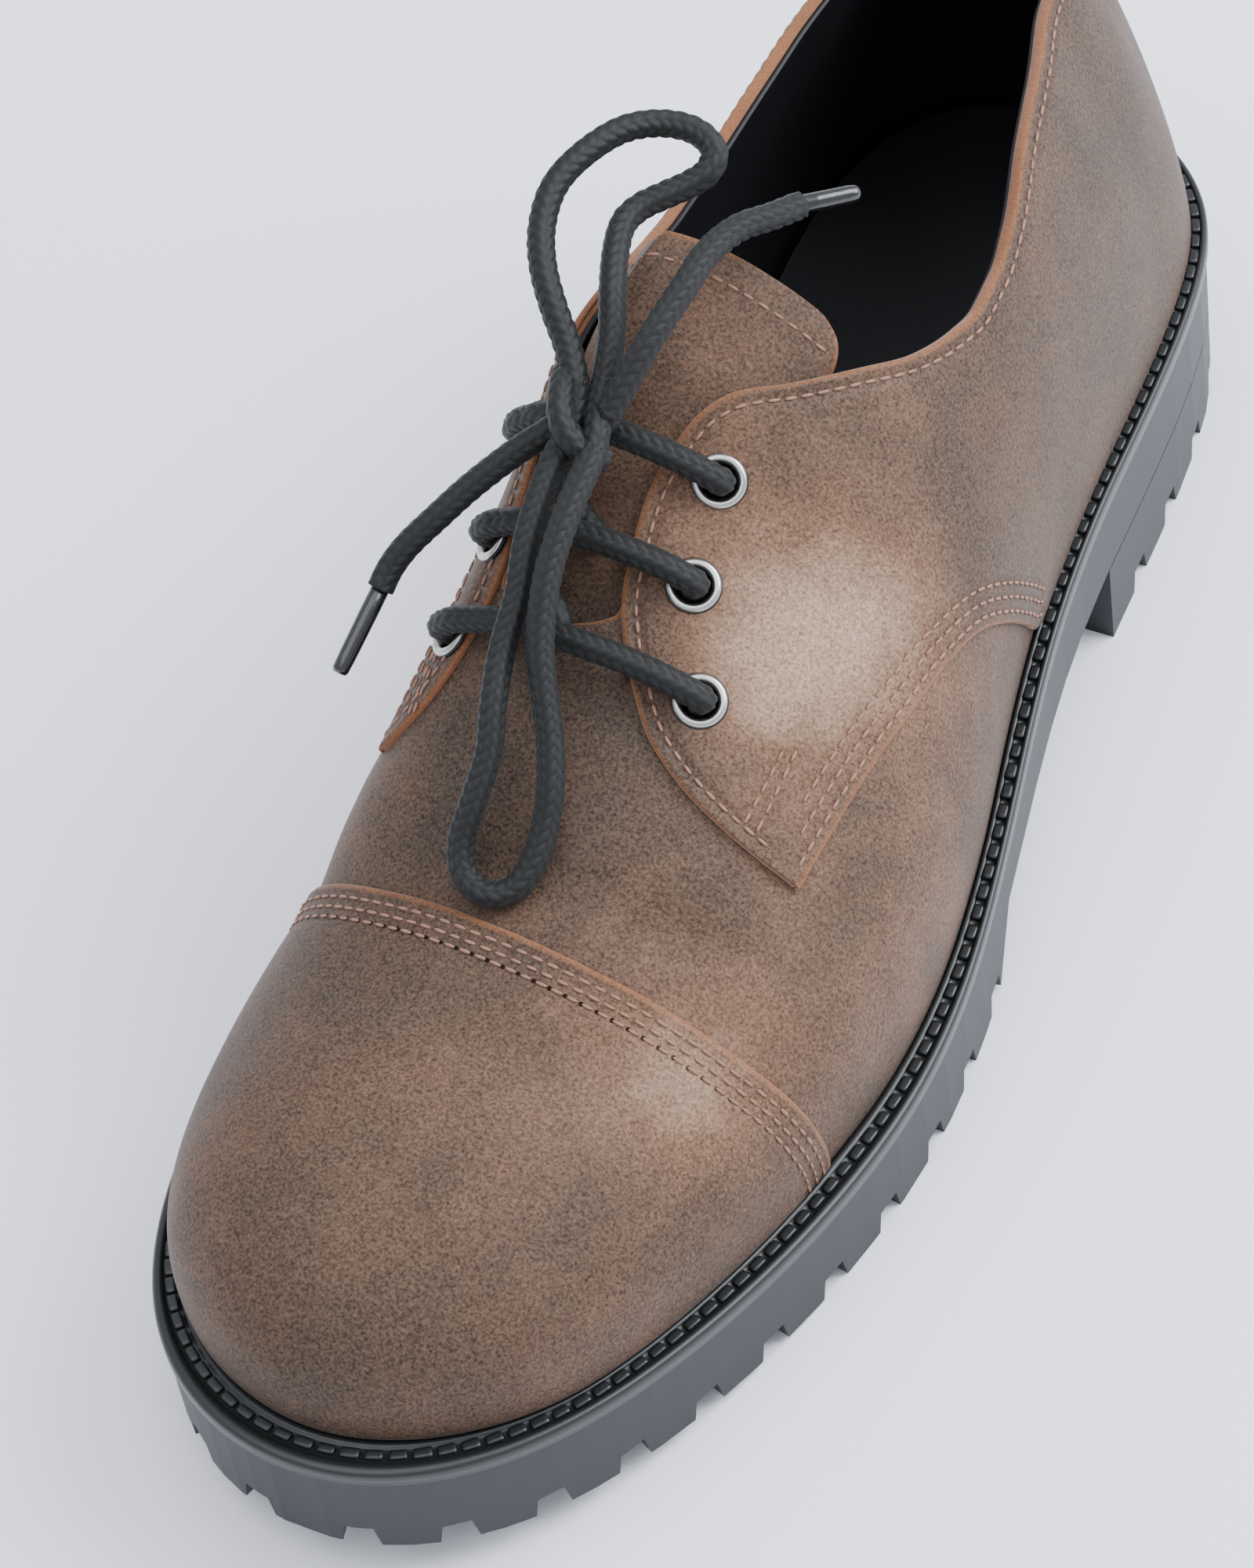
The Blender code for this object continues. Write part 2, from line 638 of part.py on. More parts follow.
def channel_cutter(name, first, inset, width):
    """Groove that follows the outline round the forepart."""
    outer = inset_ring(60, lambda s: 0 * s + inset)
    inner = inset_ring(60, lambda s: 0 * s + inset + width)
    path = [i for i in range(120) if share_of(outer[1][i]) >= first]
    vertices, faces = [], []
    for i in path[::2]:
        (ax, ay), (bx, by) = (outer[0][i], outer[1][i]), (inner[0][i], inner[1][i])
        z = float(spring(share_of(ay)))
        vertices += [(ax, ay, z - 0.002), (bx, by, z - 0.002),
                     (bx, by, z + LUG_DEPTH), (ax, ay, z + LUG_DEPTH)]
    count = len(vertices) // 4
    for i in range(count - 1):
        for j in range(4):
            faces.append((4 * i + j, 4 * i + (j + 1) % 4, 4 * i + 4 + (j + 1) % 4, 4 * i + 4 + j))
    end = 4 * (count - 1)
    faces += [(3, 2, 1, 0), (end, end + 1, end + 2, end + 3)]
    return new_object(name, vertices, faces, cutter=True)


def cross_grooves(first, last):
    """Grooves across the middle lugs."""
    pieces = []
    count = int((last - first) * LENGTH / LUG_PITCH)
    for k in range(count + 1):
        s = first + k * LUG_PITCH / LENGTH
        medial, lateral = stations_of(180, lambda t: 0 * t + LUG_REACH, np.array([s]))
        y = LENGTH / 2 - s * LENGTH
        centre = Vector((lateral[0], y, 0))
        pieces.append(wedge(centre, Vector((-1, 0, 0)), Vector((0, 1, 0)), float(spring(s)),
                            LUG_DEPTH, lateral[0] - medial[0], start=0.0))
    return pieces


def make_heel():
    """Lower heel block with its own lugs and a slightly hollow breast."""
    end = HEEL_LENGTH / LENGTH
    shares = spread(0.0006, end, 13)
    rows = sole_rows(shares, lambda s: 0.0, lambda s: HEEL_BLOCK, lambda s: 0 * s)
    heel = section_loft("heel", rows, finish=rubber())
    grooves = []
    for centre, inward, way, s in side_marks(None, 0.004, end - 0.02, LUG_PITCH * 1.06):
        grooves.append(wedge(centre, inward, way, 0.0, LUG_DEPTH, LUG_REACH * 0.8))
    cut(heel, joined_cutter("heel_lug_cutter", grooves))
    middle = []
    for s in (0.10, 0.155, 0.21):
        medial, lateral = stations_of(180, lambda t: 0 * t + LUG_REACH * 1.2, np.array([s]))
        centre = Vector((lateral[0], LENGTH / 2 - s * LENGTH, 0))
        middle.append(wedge(centre, Vector((-1, 0, 0)), Vector((0, 1, 0)), 0.0, LUG_DEPTH,
                            lateral[0] - medial[0], start=0.0))
    cut(heel, joined_cutter("heel_cross_cutter", middle))
    return freeze(heel)


def make_welt():
    """Ring round the feather: rounded lip, stitched band and inner bead."""
    across = ((0.0, 0.0), (0.0, 0.70), (0.12, 1.0), (0.30, 1.0), (0.37, 0.80), (0.72, 0.80),
              (0.79, 0.96), (1.0, 0.96), (1.0, 0.0))
    rings = []
    for part, height in across:
        def depth(s, part=part):
            width = last_column("welt", s) * 0.001 - CLEARANCE + WELT_LIP
            return width * part - WELT_LIP
        x, y = inset_ring(PAIRS, depth)
        z = sole_top(share_of(y)) + CLEARANCE + WELT_THICKNESS * height
        rings.append(np.stack([x, y, z], -1))
    grid = np.stack(rings, 1)
    count = grid.shape[0]
    columns = grid.shape[1]
    faces = grid_faces(count, columns, 0, True)
    number = np.arange(count * columns).reshape(count, columns)
    faces += strip(number[:, -1], number[:, 0], True)
    return new_object("welt", grid.reshape(-1, 3), faces,
                      finish=material("semi gloss welt rubber", "#2b2f2e", 0.4))


def make_insole():
    margin = lambda s: last_column("welt", s) * 0.001 + WALL + INSOLE_GAP
    shares = spread(0.020, 0.960, 30)
    rows = sole_rows(shares, lambda s: float(sole_top(s)) + CLEARANCE,
                     lambda s: float(sole_top(s)) + CLEARANCE + INSOLE, margin)
    return section_loft("insole", rows, finish=material("insole leather", "#14161a", 0.7))


# Upper
def collar_girth(share, side):
    along = share_of(feather_point(share, side)[1])
    level = np.where(side > 0, smooth(COLLAR, 1, along), smooth(COLLAR, 2, along))
    back = 0.5 * (smooth(COLLAR, 1, 0.0) + smooth(COLLAR, 2, 0.0))
    fade = np.clip(along / 0.03, 0, 1)
    return level * fade + back * (1 - fade)


def station_shares():
    """Stations of the last from heel to toe, shared by the wall and the quarters."""
    front = feather_share(np.array([0.665, 0.690, 0.715, 0.740]))
    toe = spread(float(feather_share(0.765)), 1.0, 9)
    back = feather_share(np.array(QUARTER_STATIONS))
    return np.concatenate([[0.0], back, front, toe])


def feather_share(along):
    """Share of the feather's own length for a share of the outsole's length."""
    heel, toe = FEATHER[1][0], FEATHER[1][len(FEATHER[1]) // 2]
    return (LENGTH / 2 - np.asarray(along, float) * LENGTH - heel) / (toe - heel)


def loop_stations(shares):
    """Both sides as one loop: heel, lateral side, toe, medial side."""
    share = np.concatenate([shares, shares[-2:0:-1]])
    side = np.concatenate([np.ones(len(shares)), -np.ones(len(shares) - 2)])
    return share, side


def upper_wall():
    share, side = loop_stations(station_shares())
    top = collar_girth(share, side)
    rows = np.linspace(0, 1, ROWS + 1) ** 0.9
    girth = top[:, None] * rows[None, :]
    girth[np.isclose(girth, 1, atol=1e-6)] = 1.0
    s = np.repeat(share[:, None], ROWS + 1, 1)
    w = np.repeat(side[:, None], ROWS + 1, 1)
    outer = last_surface(s, w, girth)
    inner = last_surface(s, w, girth, -WALL)
    drop = WELT_THICKNESS + CLEARANCE
    ridge = girth[:, -1] == 1.0
    return shell("upper", outer, inner, ring=True, skirt=drop, ridge=ridge, finish=leather())


def quarter_layer():
    """Both quarters as one band round the heel, from tip to tip."""
    lateral = feather_share(np.array(QUARTER_STATIONS))
    share = np.concatenate([lateral[::-1], [0.0], lateral])
    side = np.concatenate([np.ones(len(lateral) + 1), -np.ones(len(lateral))])
    along = share_of(feather_point(share, side)[1])
    front = np.where(side > 0, smooth(FACING, 1, along), smooth(FACING, 2, along))
    top = np.where(along > 0.5715, front, collar_girth(share, side) + OVERLAP)
    bottom = np.where(side > 0, smooth(SEAM, 1, along), smooth(SEAM, 2, along))
    rows = np.linspace(0, 1, ROWS)
    girth = bottom[:, None] + (top - bottom)[:, None] * rows[None, :]
    s = np.repeat(share[:, None], ROWS, 1)
    w = np.repeat(side[:, None], ROWS, 1)
    outer = last_surface(s, w, girth, OVERLAY)
    inner = last_surface(s, w, girth, -OVERLAY_GRIP)
    return shell("quarter_layer", outer, inner, cutter=True)


def cap_layer():
    """Toe cap: a second skin over the front of the last."""
    count = 12
    rows = np.append(0.006, np.linspace(0, 1, 9)[1:])
    lateral = feather_share(smooth(CAP_EDGE, 1, rows))
    medial = feather_share(smooth(CAP_EDGE, 2, rows))
    grids_s, grids_w, grids_g = [], [], []
    for k in range(2 * count + 1):
        if k <= count:
            u = k / count
            start = side_angle(lateral)
            share = (1 - np.cos(start + (math.pi - start) * u)) / 2
            way = 1.0
        else:
            u = (2 * count - k) / count
            start = side_angle(medial)
            share = (1 - np.cos(start + (math.pi - start) * u)) / 2
            way = -1.0
        grids_s.append(share)
        grids_w.append(np.full_like(share, way))
        grids_g.append(rows)
    s, w, g = np.array(grids_s), np.array(grids_w), np.array(grids_g)
    outer = last_surface(s, w, g, OVERLAY)
    inner = last_surface(s, w, g, -OVERLAY_GRIP)
    return shell("cap_layer", outer, inner, ridge=[True] * len(s), cutter=True)


def eyelet_frames():
    """Centre and axis of each eyelet, on the outside of the quarters."""
    frames = []
    for n, row in enumerate(EYELETS, 1):
        for side, girth, label in ((1.0, row[1], "lateral"), (-1.0, row[2], "medial")):
            s = feather_share(row[0])
            point = [last_surface(s, np.float64(side), np.float64(girth), lift)
                     for lift in (OVERLAY, OVERLAY + 0.01)]
            centre = Vector(point[0])
            axis = (Vector(point[1]) - centre).normalized()
            frames.append((f"eyelet_{label}_{n}", centre, axis))
    return frames


def turned_mesh(profile, centre, axis, sides=14):
    """Vertices and faces of a closed profile of radius and height, turned about an axis."""
    spin = axis.to_track_quat("Z", "Y").to_matrix().to_4x4()
    place = Matrix.Translation(centre) @ spin
    vertices, faces = [], []
    count = len(profile)
    for k in range(sides):
        a = 2 * math.pi * k / sides
        for radius, height in profile:
            vertices.append(place @ Vector((radius * math.cos(a), radius * math.sin(a), height)))
    steps = count if profile[0][0] > 0 else count - 1
    for k in range(sides):
        m = (k + 1) % sides
        for j in range(steps):
            n = (j + 1) % count
            faces.append((k * count + j, m * count + j, m * count + n, k * count + n))
    return vertices, faces


def turned(name, profile, centre, axis, sides=14, **kind):
    return new_object(name, *turned_mesh(profile, centre, axis, sides), **kind)


def make_upper():
    upper = upper_wall()
    cut(upper, quarter_layer(), "UNION")
    freeze(upper)
    cut(upper, cap_layer(), "UNION")
    freeze(upper)
    deep = WALL + OVERLAY + 0.004
    hole = EYELET_TUBE / 2 + CLEARANCE
    seat = EYELET_RING / 2 + CLEARANCE
    sink = 0.0005
    profile = ((0.0, -deep), (hole, -deep), (hole, -sink), (seat, -sink), (seat, 0.006),
               (0.0, 0.006))
    holes = [turned_mesh(profile, centre, axis, 18) for name, centre, axis in eyelet_frames()]
    cut(upper, joined_cutter("eyelet_holes", holes))
    freeze(upper)
    return upper


def make_eyelets():
    sink = 0.0005
    bore, tube, ring = EYELET_BORE / 2, EYELET_TUBE / 2, EYELET_RING / 2
    low = -(WALL + OVERLAY)
    top = EYELET_RISE - sink + CLEARANCE
    base = CLEARANCE - sink
    profile = ((bore, low), (tube, low), (tube, base), (ring, base), (ring - 0.0007, top),
               (bore + 0.0004, top))
    steel = material("nickel plated brass", "#c9c9c4", 0.25, 1.0)
    return [turned(name, profile, centre, axis, finish=steel)
            for name, centre, axis in eyelet_frames()]


def make_tongue():
    """Tongue under the facings, from the vamp to above the top eyelets."""
    shares = feather_share(np.array([0.399, 0.405, 0.420, 0.435, 0.450, 0.466, 0.484, 0.515,
                                     0.548, 0.572, 0.586, 0.602]))
    reach_l = np.array([0.64, 0.63, 0.63, 0.64, 0.655, 0.67, 0.675, 0.685, 0.69, 0.695, 0.70, 0.71])
    reach_m = np.array([0.50, 0.49, 0.49, 0.50, 0.51, 0.52, 0.525, 0.535, 0.545, 0.555, 0.57, 0.59])
    half = 6
    grid_o, grid_i = [], []
    for s, a, b in zip(shares, reach_l, reach_m):
        girth = np.concatenate([np.linspace(a, 1, half + 1), np.linspace(1, b, half + 1)[1:]])
        way = np.concatenate([np.ones(half + 1), -np.ones(half)])
        dip = TONGUE_DIP * min(max((float(share_of(feather_point(s, 1.0)[1])) - 0.548) / 0.024, 0), 1)
        lift = -(WALL + TONGUE_GAP + dip)
        grid_o.append(last_surface(s, way, girth, lift))
        grid_i.append(last_surface(s, way, girth, lift - TONGUE))
    return shell("tongue", np.array(grid_o), np.array(grid_i), finish=leather())


# Laces
def through(points, spacing):
    """Evenly spaced points on a smooth curve through the given ones."""
    p = np.asarray(points, float)
    ends = np.concatenate([[2 * p[0] - p[1]], p, [2 * p[-1] - p[-2]]])
    fine = []
    for i in range(1, len(ends) - 2):
        a, b, c, d = ends[i - 1:i + 3]
        for u in np.linspace(0, 1, 12, endpoint=False):
            fine.append(0.5 * (2 * b + (c - a) * u + (2 * a - 5 * b + 4 * c - d) * u ** 2
                               + (3 * b - a - 3 * c + d) * u ** 3))
    fine = np.array(fine + [p[-1]])
    run = np.append(0, np.cumsum(np.linalg.norm(np.diff(fine, axis=0), axis=1)))
    at = np.linspace(0, run[-1], max(int(round(run[-1] / spacing)), 2) + 1)
    return np.stack([np.interp(at, run, fine[:, k]) for k in range(3)], 1)


def tube(name, points, radius, finish=None, cutter=False):
    """Round cord along a line of points, as a mesh with closed ends."""
    curve = bpy.data.curves.new(name, "CURVE")
    curve.dimensions = "3D"
    curve.bevel_depth = radius
    curve.bevel_resolution = 2
    curve.use_fill_caps = True
    line = curve.splines.new("POLY")
    line.points.add(len(points) - 1)
    for place, point in zip(line.points, points):
        place.co = (*point, 1.0)
    drawn = bpy.data.objects.new(name + "_curve", curve)
    PARTS.objects.link(drawn)
    graph = bpy.context.evaluated_depsgraph_get()
    mesh = bpy.data.meshes.new_from_object(drawn.evaluated_get(graph))
    bpy.data.objects.remove(drawn, do_unlink=True)
    work = bmesh.new()
    work.from_mesh(mesh)
    bmesh.ops.remove_doubles(work, verts=work.verts, dist=1e-6)
    bmesh.ops.recalc_face_normals(work, faces=work.faces)
    work.to_mesh(mesh)
    work.free()
    mesh.name = name
    mesh.materials.clear()
    thing = bpy.data.objects.new(name, mesh)
    (CUTTERS if cutter else PARTS).objects.link(thing)
    if cutter:
        thing.hide_render = True
        thing.display_type = "WIRE"
    else:
        mesh.materials.append(finish)
    return thing


def bar_route(row):
    """Middle line of one crossing: out of one eyelet, over the tongue and into the other."""
    frames = {}
    for side, girth in ((1.0, row[1]), (-1.0, row[2])):
        s = feather_share(row[0])
        low = Vector(last_surface(s, np.float64(side), np.float64(girth), OVERLAY))
        high = Vector(last_surface(s, np.float64(side), np.float64(girth), OVERLAY + 0.01))
        frames[side] = (low, (high - low).normalized())
    flight = LACE / 2 + EYELET_RISE + CLEARANCE
    route = []
    for side, girth in ((1.0, row[1]), (-1.0, row[2])):
        centre, axis = frames[side]
        s = feather_share(row[0])
        half = [centre + axis * height for height in (-0.0030, 0.0004, 0.0022)]
        steps = np.linspace(girth, 1.0, 6)[1:] if side > 0 else np.linspace(girth, 1.0, 6)[1:-1]
        for k, g in enumerate(steps):
            rise = OVERLAY + flight * (1.02 if k else 1.0)
            half.append(Vector(last_surface(s, np.float64(side), np.float64(g), rise)))
        route += half if side > 0 else half[::-1]
    return [tuple(p) for p in route]


def slant_route(upper, lower):
    """Lace that shows between the facings, from one row of eyelets down to the next."""
    route = []
    for u in np.linspace(0, 1, 7):
        share = upper[0] + (lower[0] - upper[0]) * (0.02 + 0.96 * u)
        lateral = float(smooth(COLLAR, 1, share))
        medial = float(smooth(COLLAR, 2, share))
        span = (1 - medial) + (1 - lateral)
        place = 0.16 + 0.68 * u
        down = medial + place * span
        side, girth = (-1.0, down) if down <= 1 else (1.0, 2 - down)
        step = min(max((share - 0.556) / 0.016, 0.0), 1.0)
        lift = LACE / 2 + CLEARANCE - WALL * (1 - step)
        route.append(tuple(last_surface(feather_share(share), np.float64(side),
                                        np.float64(girth), lift)))
    return route


def make_laces():
    finish = lace_cord()
    bars = [bar_route(row) for row in EYELETS]
    spacing = LACE * 0.95
    laces = tube("laces", through(bars[2], spacing), LACE / 2, finish)
    slants = [slant_route(EYELETS[0], EYELETS[1]), slant_route(EYELETS[1], EYELETS[2])]
    for n, route in enumerate(slants + bars[:2]):
        cut(laces, tube(f"lace_join_{n}", through(route, spacing), LACE / 2, cutter=True), "UNION")
    freeze(laces)

    half = np.array(KNOT_HALF) * 0.001
    knot = ball("lace_knot", KNOT_CENTRE, half, finish=finish)
    fat_bar = tube("fat_bar_cutter", through(bars[0], spacing), LACE / 2 + CLEARANCE, cutter=True)
    cut(knot, fat_bar)
    freeze(knot)
    around = ball("knot_cutter", KNOT_CENTRE, half + CLEARANCE, cutter=True)
    routes = (("lace_loop_front", FRONT_LOOP), ("lace_loop_back", BACK_LOOP),
              ("lace_end_left", LEFT_END), ("lace_end_right", RIGHT_END))
    tips = {"lace_end_left": LEFT_TIP, "lace_end_right": RIGHT_TIP}
    for name, route in routes:
        points = through(np.array(route) * 0.001, LACE)
        if name in tips:
            last = np.array(points[-1])
            way = np.array(tips[name]) * 0.001 - last
            points[-2] = last - way / np.linalg.norm(way) * LACE
        cord = tube(name, points, LACE / 2, finish)
        cut(cord, around)
        freeze(cord)
    for name, route, tip in (("aglet_left", LEFT_END, LEFT_TIP),
                             ("aglet_right", RIGHT_END, RIGHT_TIP)):
        start, end = Vector(route[-1]) * 0.001, Vector(tip) * 0.001
        axis = (end - start).normalized()
        length = (end - start).length - CLEARANCE
        profile = ((0.0, 0.0), (AGLET / 2, 0.0), (AGLET * 0.46, length * 0.96),
                   (AGLET * 0.36, length), (0.0, length))
        turned(name, profile, start + axis * CLEARANCE, axis, sides=12,
               finish=material("glossy lace tip", "#0f1011", 0.2))


def ball(name, centre, half, **kind):
    """Rounded lump with its own half sizes."""
    mesh = bmesh.new()
    bmesh.ops.create_uvsphere(mesh, u_segments=16, v_segments=10, radius=1.0)
    vertices = [tuple(Vector(centre) * 0.001 + Vector((v.co.x * half[0], v.co.y * half[1],
                                                       v.co.z * half[2]))) for v in mesh.verts]
    faces = [tuple(v.index for v in f.verts) for f in mesh.faces]
    mesh.free()
    return new_object(name, vertices, faces, **kind)


FEATHER = inset_ring(180, lambda s: last_column("welt", s) * 0.001)


def main():
    fresh_scene()
    make_outsole()
    make_heel()
    make_welt()
    make_insole()
    make_upper()
    make_tongue()
    make_eyelets()
    make_laces()


main()
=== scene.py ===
"""Left lace-up derby in brown nubuck with a lugged rubber sole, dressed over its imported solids.

Lengths are metres unless a name or a table says millimetres. The toe points to -Y, the outer
(lateral) side of the foot to +X, and the floor is Z = 0.
"""

from __future__ import annotations

import logging
import math
from collections.abc import Callable, Sequence
from dataclasses import dataclass, field
from enum import Enum

import bmesh
import bpy
import numpy as np
from mathutils import Matrix, Vector
from mathutils.kdtree import KDTree

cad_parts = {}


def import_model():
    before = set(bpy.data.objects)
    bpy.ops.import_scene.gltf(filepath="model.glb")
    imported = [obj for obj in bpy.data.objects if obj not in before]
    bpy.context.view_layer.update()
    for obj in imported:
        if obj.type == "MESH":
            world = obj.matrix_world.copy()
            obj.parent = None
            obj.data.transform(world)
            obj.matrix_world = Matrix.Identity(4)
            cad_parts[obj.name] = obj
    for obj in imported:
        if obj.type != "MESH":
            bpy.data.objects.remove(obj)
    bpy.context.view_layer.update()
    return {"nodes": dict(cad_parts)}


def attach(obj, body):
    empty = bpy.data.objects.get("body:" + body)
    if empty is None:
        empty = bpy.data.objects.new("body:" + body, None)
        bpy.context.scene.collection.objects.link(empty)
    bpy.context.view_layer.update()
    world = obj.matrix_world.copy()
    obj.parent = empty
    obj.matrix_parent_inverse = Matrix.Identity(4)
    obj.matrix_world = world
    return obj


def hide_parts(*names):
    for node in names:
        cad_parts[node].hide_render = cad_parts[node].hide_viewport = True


log = logging.getLogger("derby")
Array = np.ndarray
Table = Sequence[Sequence[float]]
LATERAL, MEDIAL = 1.0, -1.0


# Curves through tables
def smooth(rows: Table, column: int, at: float | Array) -> Array:
    """Monotone cubic through two columns of a table.

    Args:
        rows: The table, its first column rising.
        column: The column that is read.
        at: Where it is read, in the first column's unit.

    Returns:
        The value at each place.
    """
    table = np.asarray(rows, float)
    x, y = table[:, 0], table[:, column]
    h = np.diff(x)
    d = np.diff(y) / h
    m = np.zeros_like(y)
    m[0], m[-1] = d[0], d[-1]
    for i in range(1, len(x) - 1):
        if d[i - 1] * d[i] > 0:
            w1, w2 = 2 * h[i] + h[i - 1], h[i] + 2 * h[i - 1]
            m[i] = (w1 + w2) / (w1 / d[i - 1] + w2 / d[i])
    at = np.clip(np.asarray(at, float), x[0], x[-1])
    i = np.clip(np.searchsorted(x, at, side="right") - 1, 0, len(x) - 2)
    u = (at - x[i]) / h[i]
    return (
        y[i] * (1 + 2 * u) * (1 - u) ** 2
        + m[i] * h[i] * u * (1 - u) ** 2
        + y[i + 1] * u * u * (3 - 2 * u)
        + m[i + 1] * h[i] * u * u * (u - 1)
    )


def closed_spline(knots: Array, values: Array, at: Array) -> Array:
    """Periodic cubic over one turn.

    Args:
        knots: Angles of the known values, rising, over less than one turn.
        values: The value at each knot.
        at: Angles where it is read.

    Returns:
        The value at each angle.
    """
    n = len(knots)
    h = np.diff(np.append(knots, knots[0] + 2 * math.pi))
    v = np.append(values, values[0])
    a, r = np.zeros((n, n)), np.zeros(n)
    for i in range(n):
        a[i, i - 1] += h[i - 1]
        a[i, i] += 2 * (h[i - 1] + h[i])
        a[i, (i + 1) % n] += h[i]
        r[i] = 6 * ((v[i + 1] - v[i]) / h[i] - (v[i] - v[i - 1 if i else n - 1]) / h[i - 1])
    m = np.linalg.solve(a, r)
    m = np.append(m, m[0])
    at = np.mod(at - knots[0], 2 * math.pi) + knots[0]
    edges = np.append(knots, knots[0] + 2 * math.pi)
    i = np.clip(np.searchsorted(edges, at, side="right") - 1, 0, n - 1)
    p = (edges[i + 1] - at) / h[i]
    q = 1 - p
    curve = ((p**3 - p) * m[i] + (q**3 - q) * m[i + 1]) * h[i] ** 2 / 6
    return p * v[i] + q * v[i + 1] + curve


def through(points: Table | Array, spacing: float) -> Array:
    """Evenly spaced points on a smooth curve.

    Args:
        points: The route's own points.
        spacing: Distance between the new points, in the same unit.

    Returns:
        The new points, one a row.
    """
    p = np.asarray(points, float)
    ends = np.concatenate([[2 * p[0] - p[1]], p, [2 * p[-1] - p[-2]]])
    fine = []
    for i in range(1, len(ends) - 2):
        a, b, c, d = ends[i - 1 : i + 3]
        for u in np.linspace(0, 1, 24, endpoint=False):
            square = (2 * a - 5 * b + 4 * c - d) * u**2
            fine.append(0.5 * (2 * b + (c - a) * u + square + (3 * b - a - 3 * c + d) * u**3))
    return even(np.array(fine + [p[-1]]), spacing)


def even(points: Array, spacing: float) -> Array:
    """Evenly spaced points along a polyline, both ends kept.

    Args:
        points: The line, a point a row.
        spacing: Distance between the new points, in the same unit.

    Returns:
        The new points, one a row.
    """
    run = np.append(0, np.cumsum(np.linalg.norm(np.diff(points, axis=0), axis=1)))
    at = np.linspace(0, run[-1], max(int(round(run[-1] / spacing)), 2) + 1)
    return np.stack([np.interp(at, run, points[:, k]) for k in range(points.shape[1])], 1)


def unit(v: Array) -> Array:
    """Rows scaled to length one."""
    return v / (np.linalg.norm(v, axis=-1, keepdims=True) + 1e-12)


def side_angle(share: float | Array) -> Array:
    """Angle of a station: 0 at the heel, half a turn at the toe."""
    return np.arccos(np.clip(1 - 2 * np.asarray(share, float), -1, 1))


def spread(first: float, last: float, count: int) -> Array:
    """Shares of length that crowd towards heel and toe."""
    return (1 - np.cos(np.linspace(side_angle(first), side_angle(last), count))) / 2


# Outline of the sole: share of length, medial side, lateral side, as shares of the ball width
OUTLINE: Table = (
    (0.017, 0.224, 0.136),
    (0.067, 0.336, 0.284),
    (0.146, 0.382, 0.345),
    (0.250, 0.364, 0.365),
    (0.371, 0.325, 0.389),
    (0.500, 0.334, 0.454),
    (0.629, 0.428, 0.500),
    (0.750, 0.498, 0.462),
    (0.854, 0.474, 0.373),
    (0.933, 0.383, 0.259),
    (0.983, 0.235, 0.113),
)
# Rise of the sole's top: share of length, share of the rise
RISE: Table = (
    (0.0, 0.97),
    (0.12, 1.0),
    (0.27, 1.0),
    (0.38, 0.82),
    (0.435, 0.66),
    (0.50, 0.41),
    (0.60, 0.09),
    (0.68, 0.0),
    (1.0, 0.0),
)
# The last: share of length, welt width (mm), ridge height, ridge aside, lateral fullness,
# medial fullness, swell (mm)
LAST_ROWS: Table = (
    (0.00, 3.9, 1.02, -0.046, 2.25, 2.30, -1.0),
    (0.07, 3.9, 1.02, -0.055, 1.60, 1.80, -0.9),
    (0.14, 3.9, 1.02, -0.075, 1.65, 1.60, -0.6),
    (0.20, 3.9, 1.01, -0.087, 1.90, 1.70, 0.2),
    (0.27, 3.8, 1.00, -0.087, 2.10, 2.00, 0.6),
    (0.33, 3.7, 1.00, -0.095, 2.00, 2.40, 1.1),
    (0.40, 3.7, 0.97, -0.160, 1.90, 2.75, 2.0),
    (0.45, 3.7, 0.91, -0.205, 1.87, 2.90, 2.9),
    (0.50, 3.6, 0.81, -0.185, 1.85, 3.05, 3.8),
    (0.55, 3.9, 0.74, -0.145, 1.87, 3.00, 3.7),
    (0.59, 4.3, 0.69, -0.120, 1.90, 2.90, 3.6),
    (0.67, 5.1, 0.595, -0.100, 2.05, 2.45, 3.4),
    (0.73, 5.5, 0.52, -0.088, 2.20, 2.03, 2.6),
    (0.80, 5.4, 0.475, -0.090, 2.23, 2.03, 2.2),
    (0.90, 5.0, 0.42, -0.095, 2.30, 2.30, 2.2),
    (1.00, 7.9, 0.335, -0.100, 2.35, 2.65, 2.2),
)
# Upper edge of the lining and of the vamp: share of length, girth lateral, girth medial
COLLAR: Table = (
    (0.000, 0.500, 0.500),
    (0.040, 0.535, 0.525),
    (0.075, 0.570, 0.545),
    (0.130, 0.585, 0.555),
    (0.185, 0.560, 0.545),
    (0.235, 0.530, 0.520),
    (0.285, 0.478, 0.475),
    (0.310, 0.463, 0.448),
    (0.335, 0.465, 0.440),
    (0.355, 0.484, 0.450),
    (0.385, 0.530, 0.485),
    (0.415, 0.604, 0.540),
    (0.440, 0.680, 0.600),
    (0.460, 0.760, 0.655),
    (0.480, 0.812, 0.695),
    (0.500, 0.845, 0.715),
    (0.530, 0.875, 0.730),
    (0.560, 0.890, 0.745),
    (0.572, 0.900, 0.765),
    (0.580, 0.940, 0.860),
    (0.586, 1.000, 1.000),
)
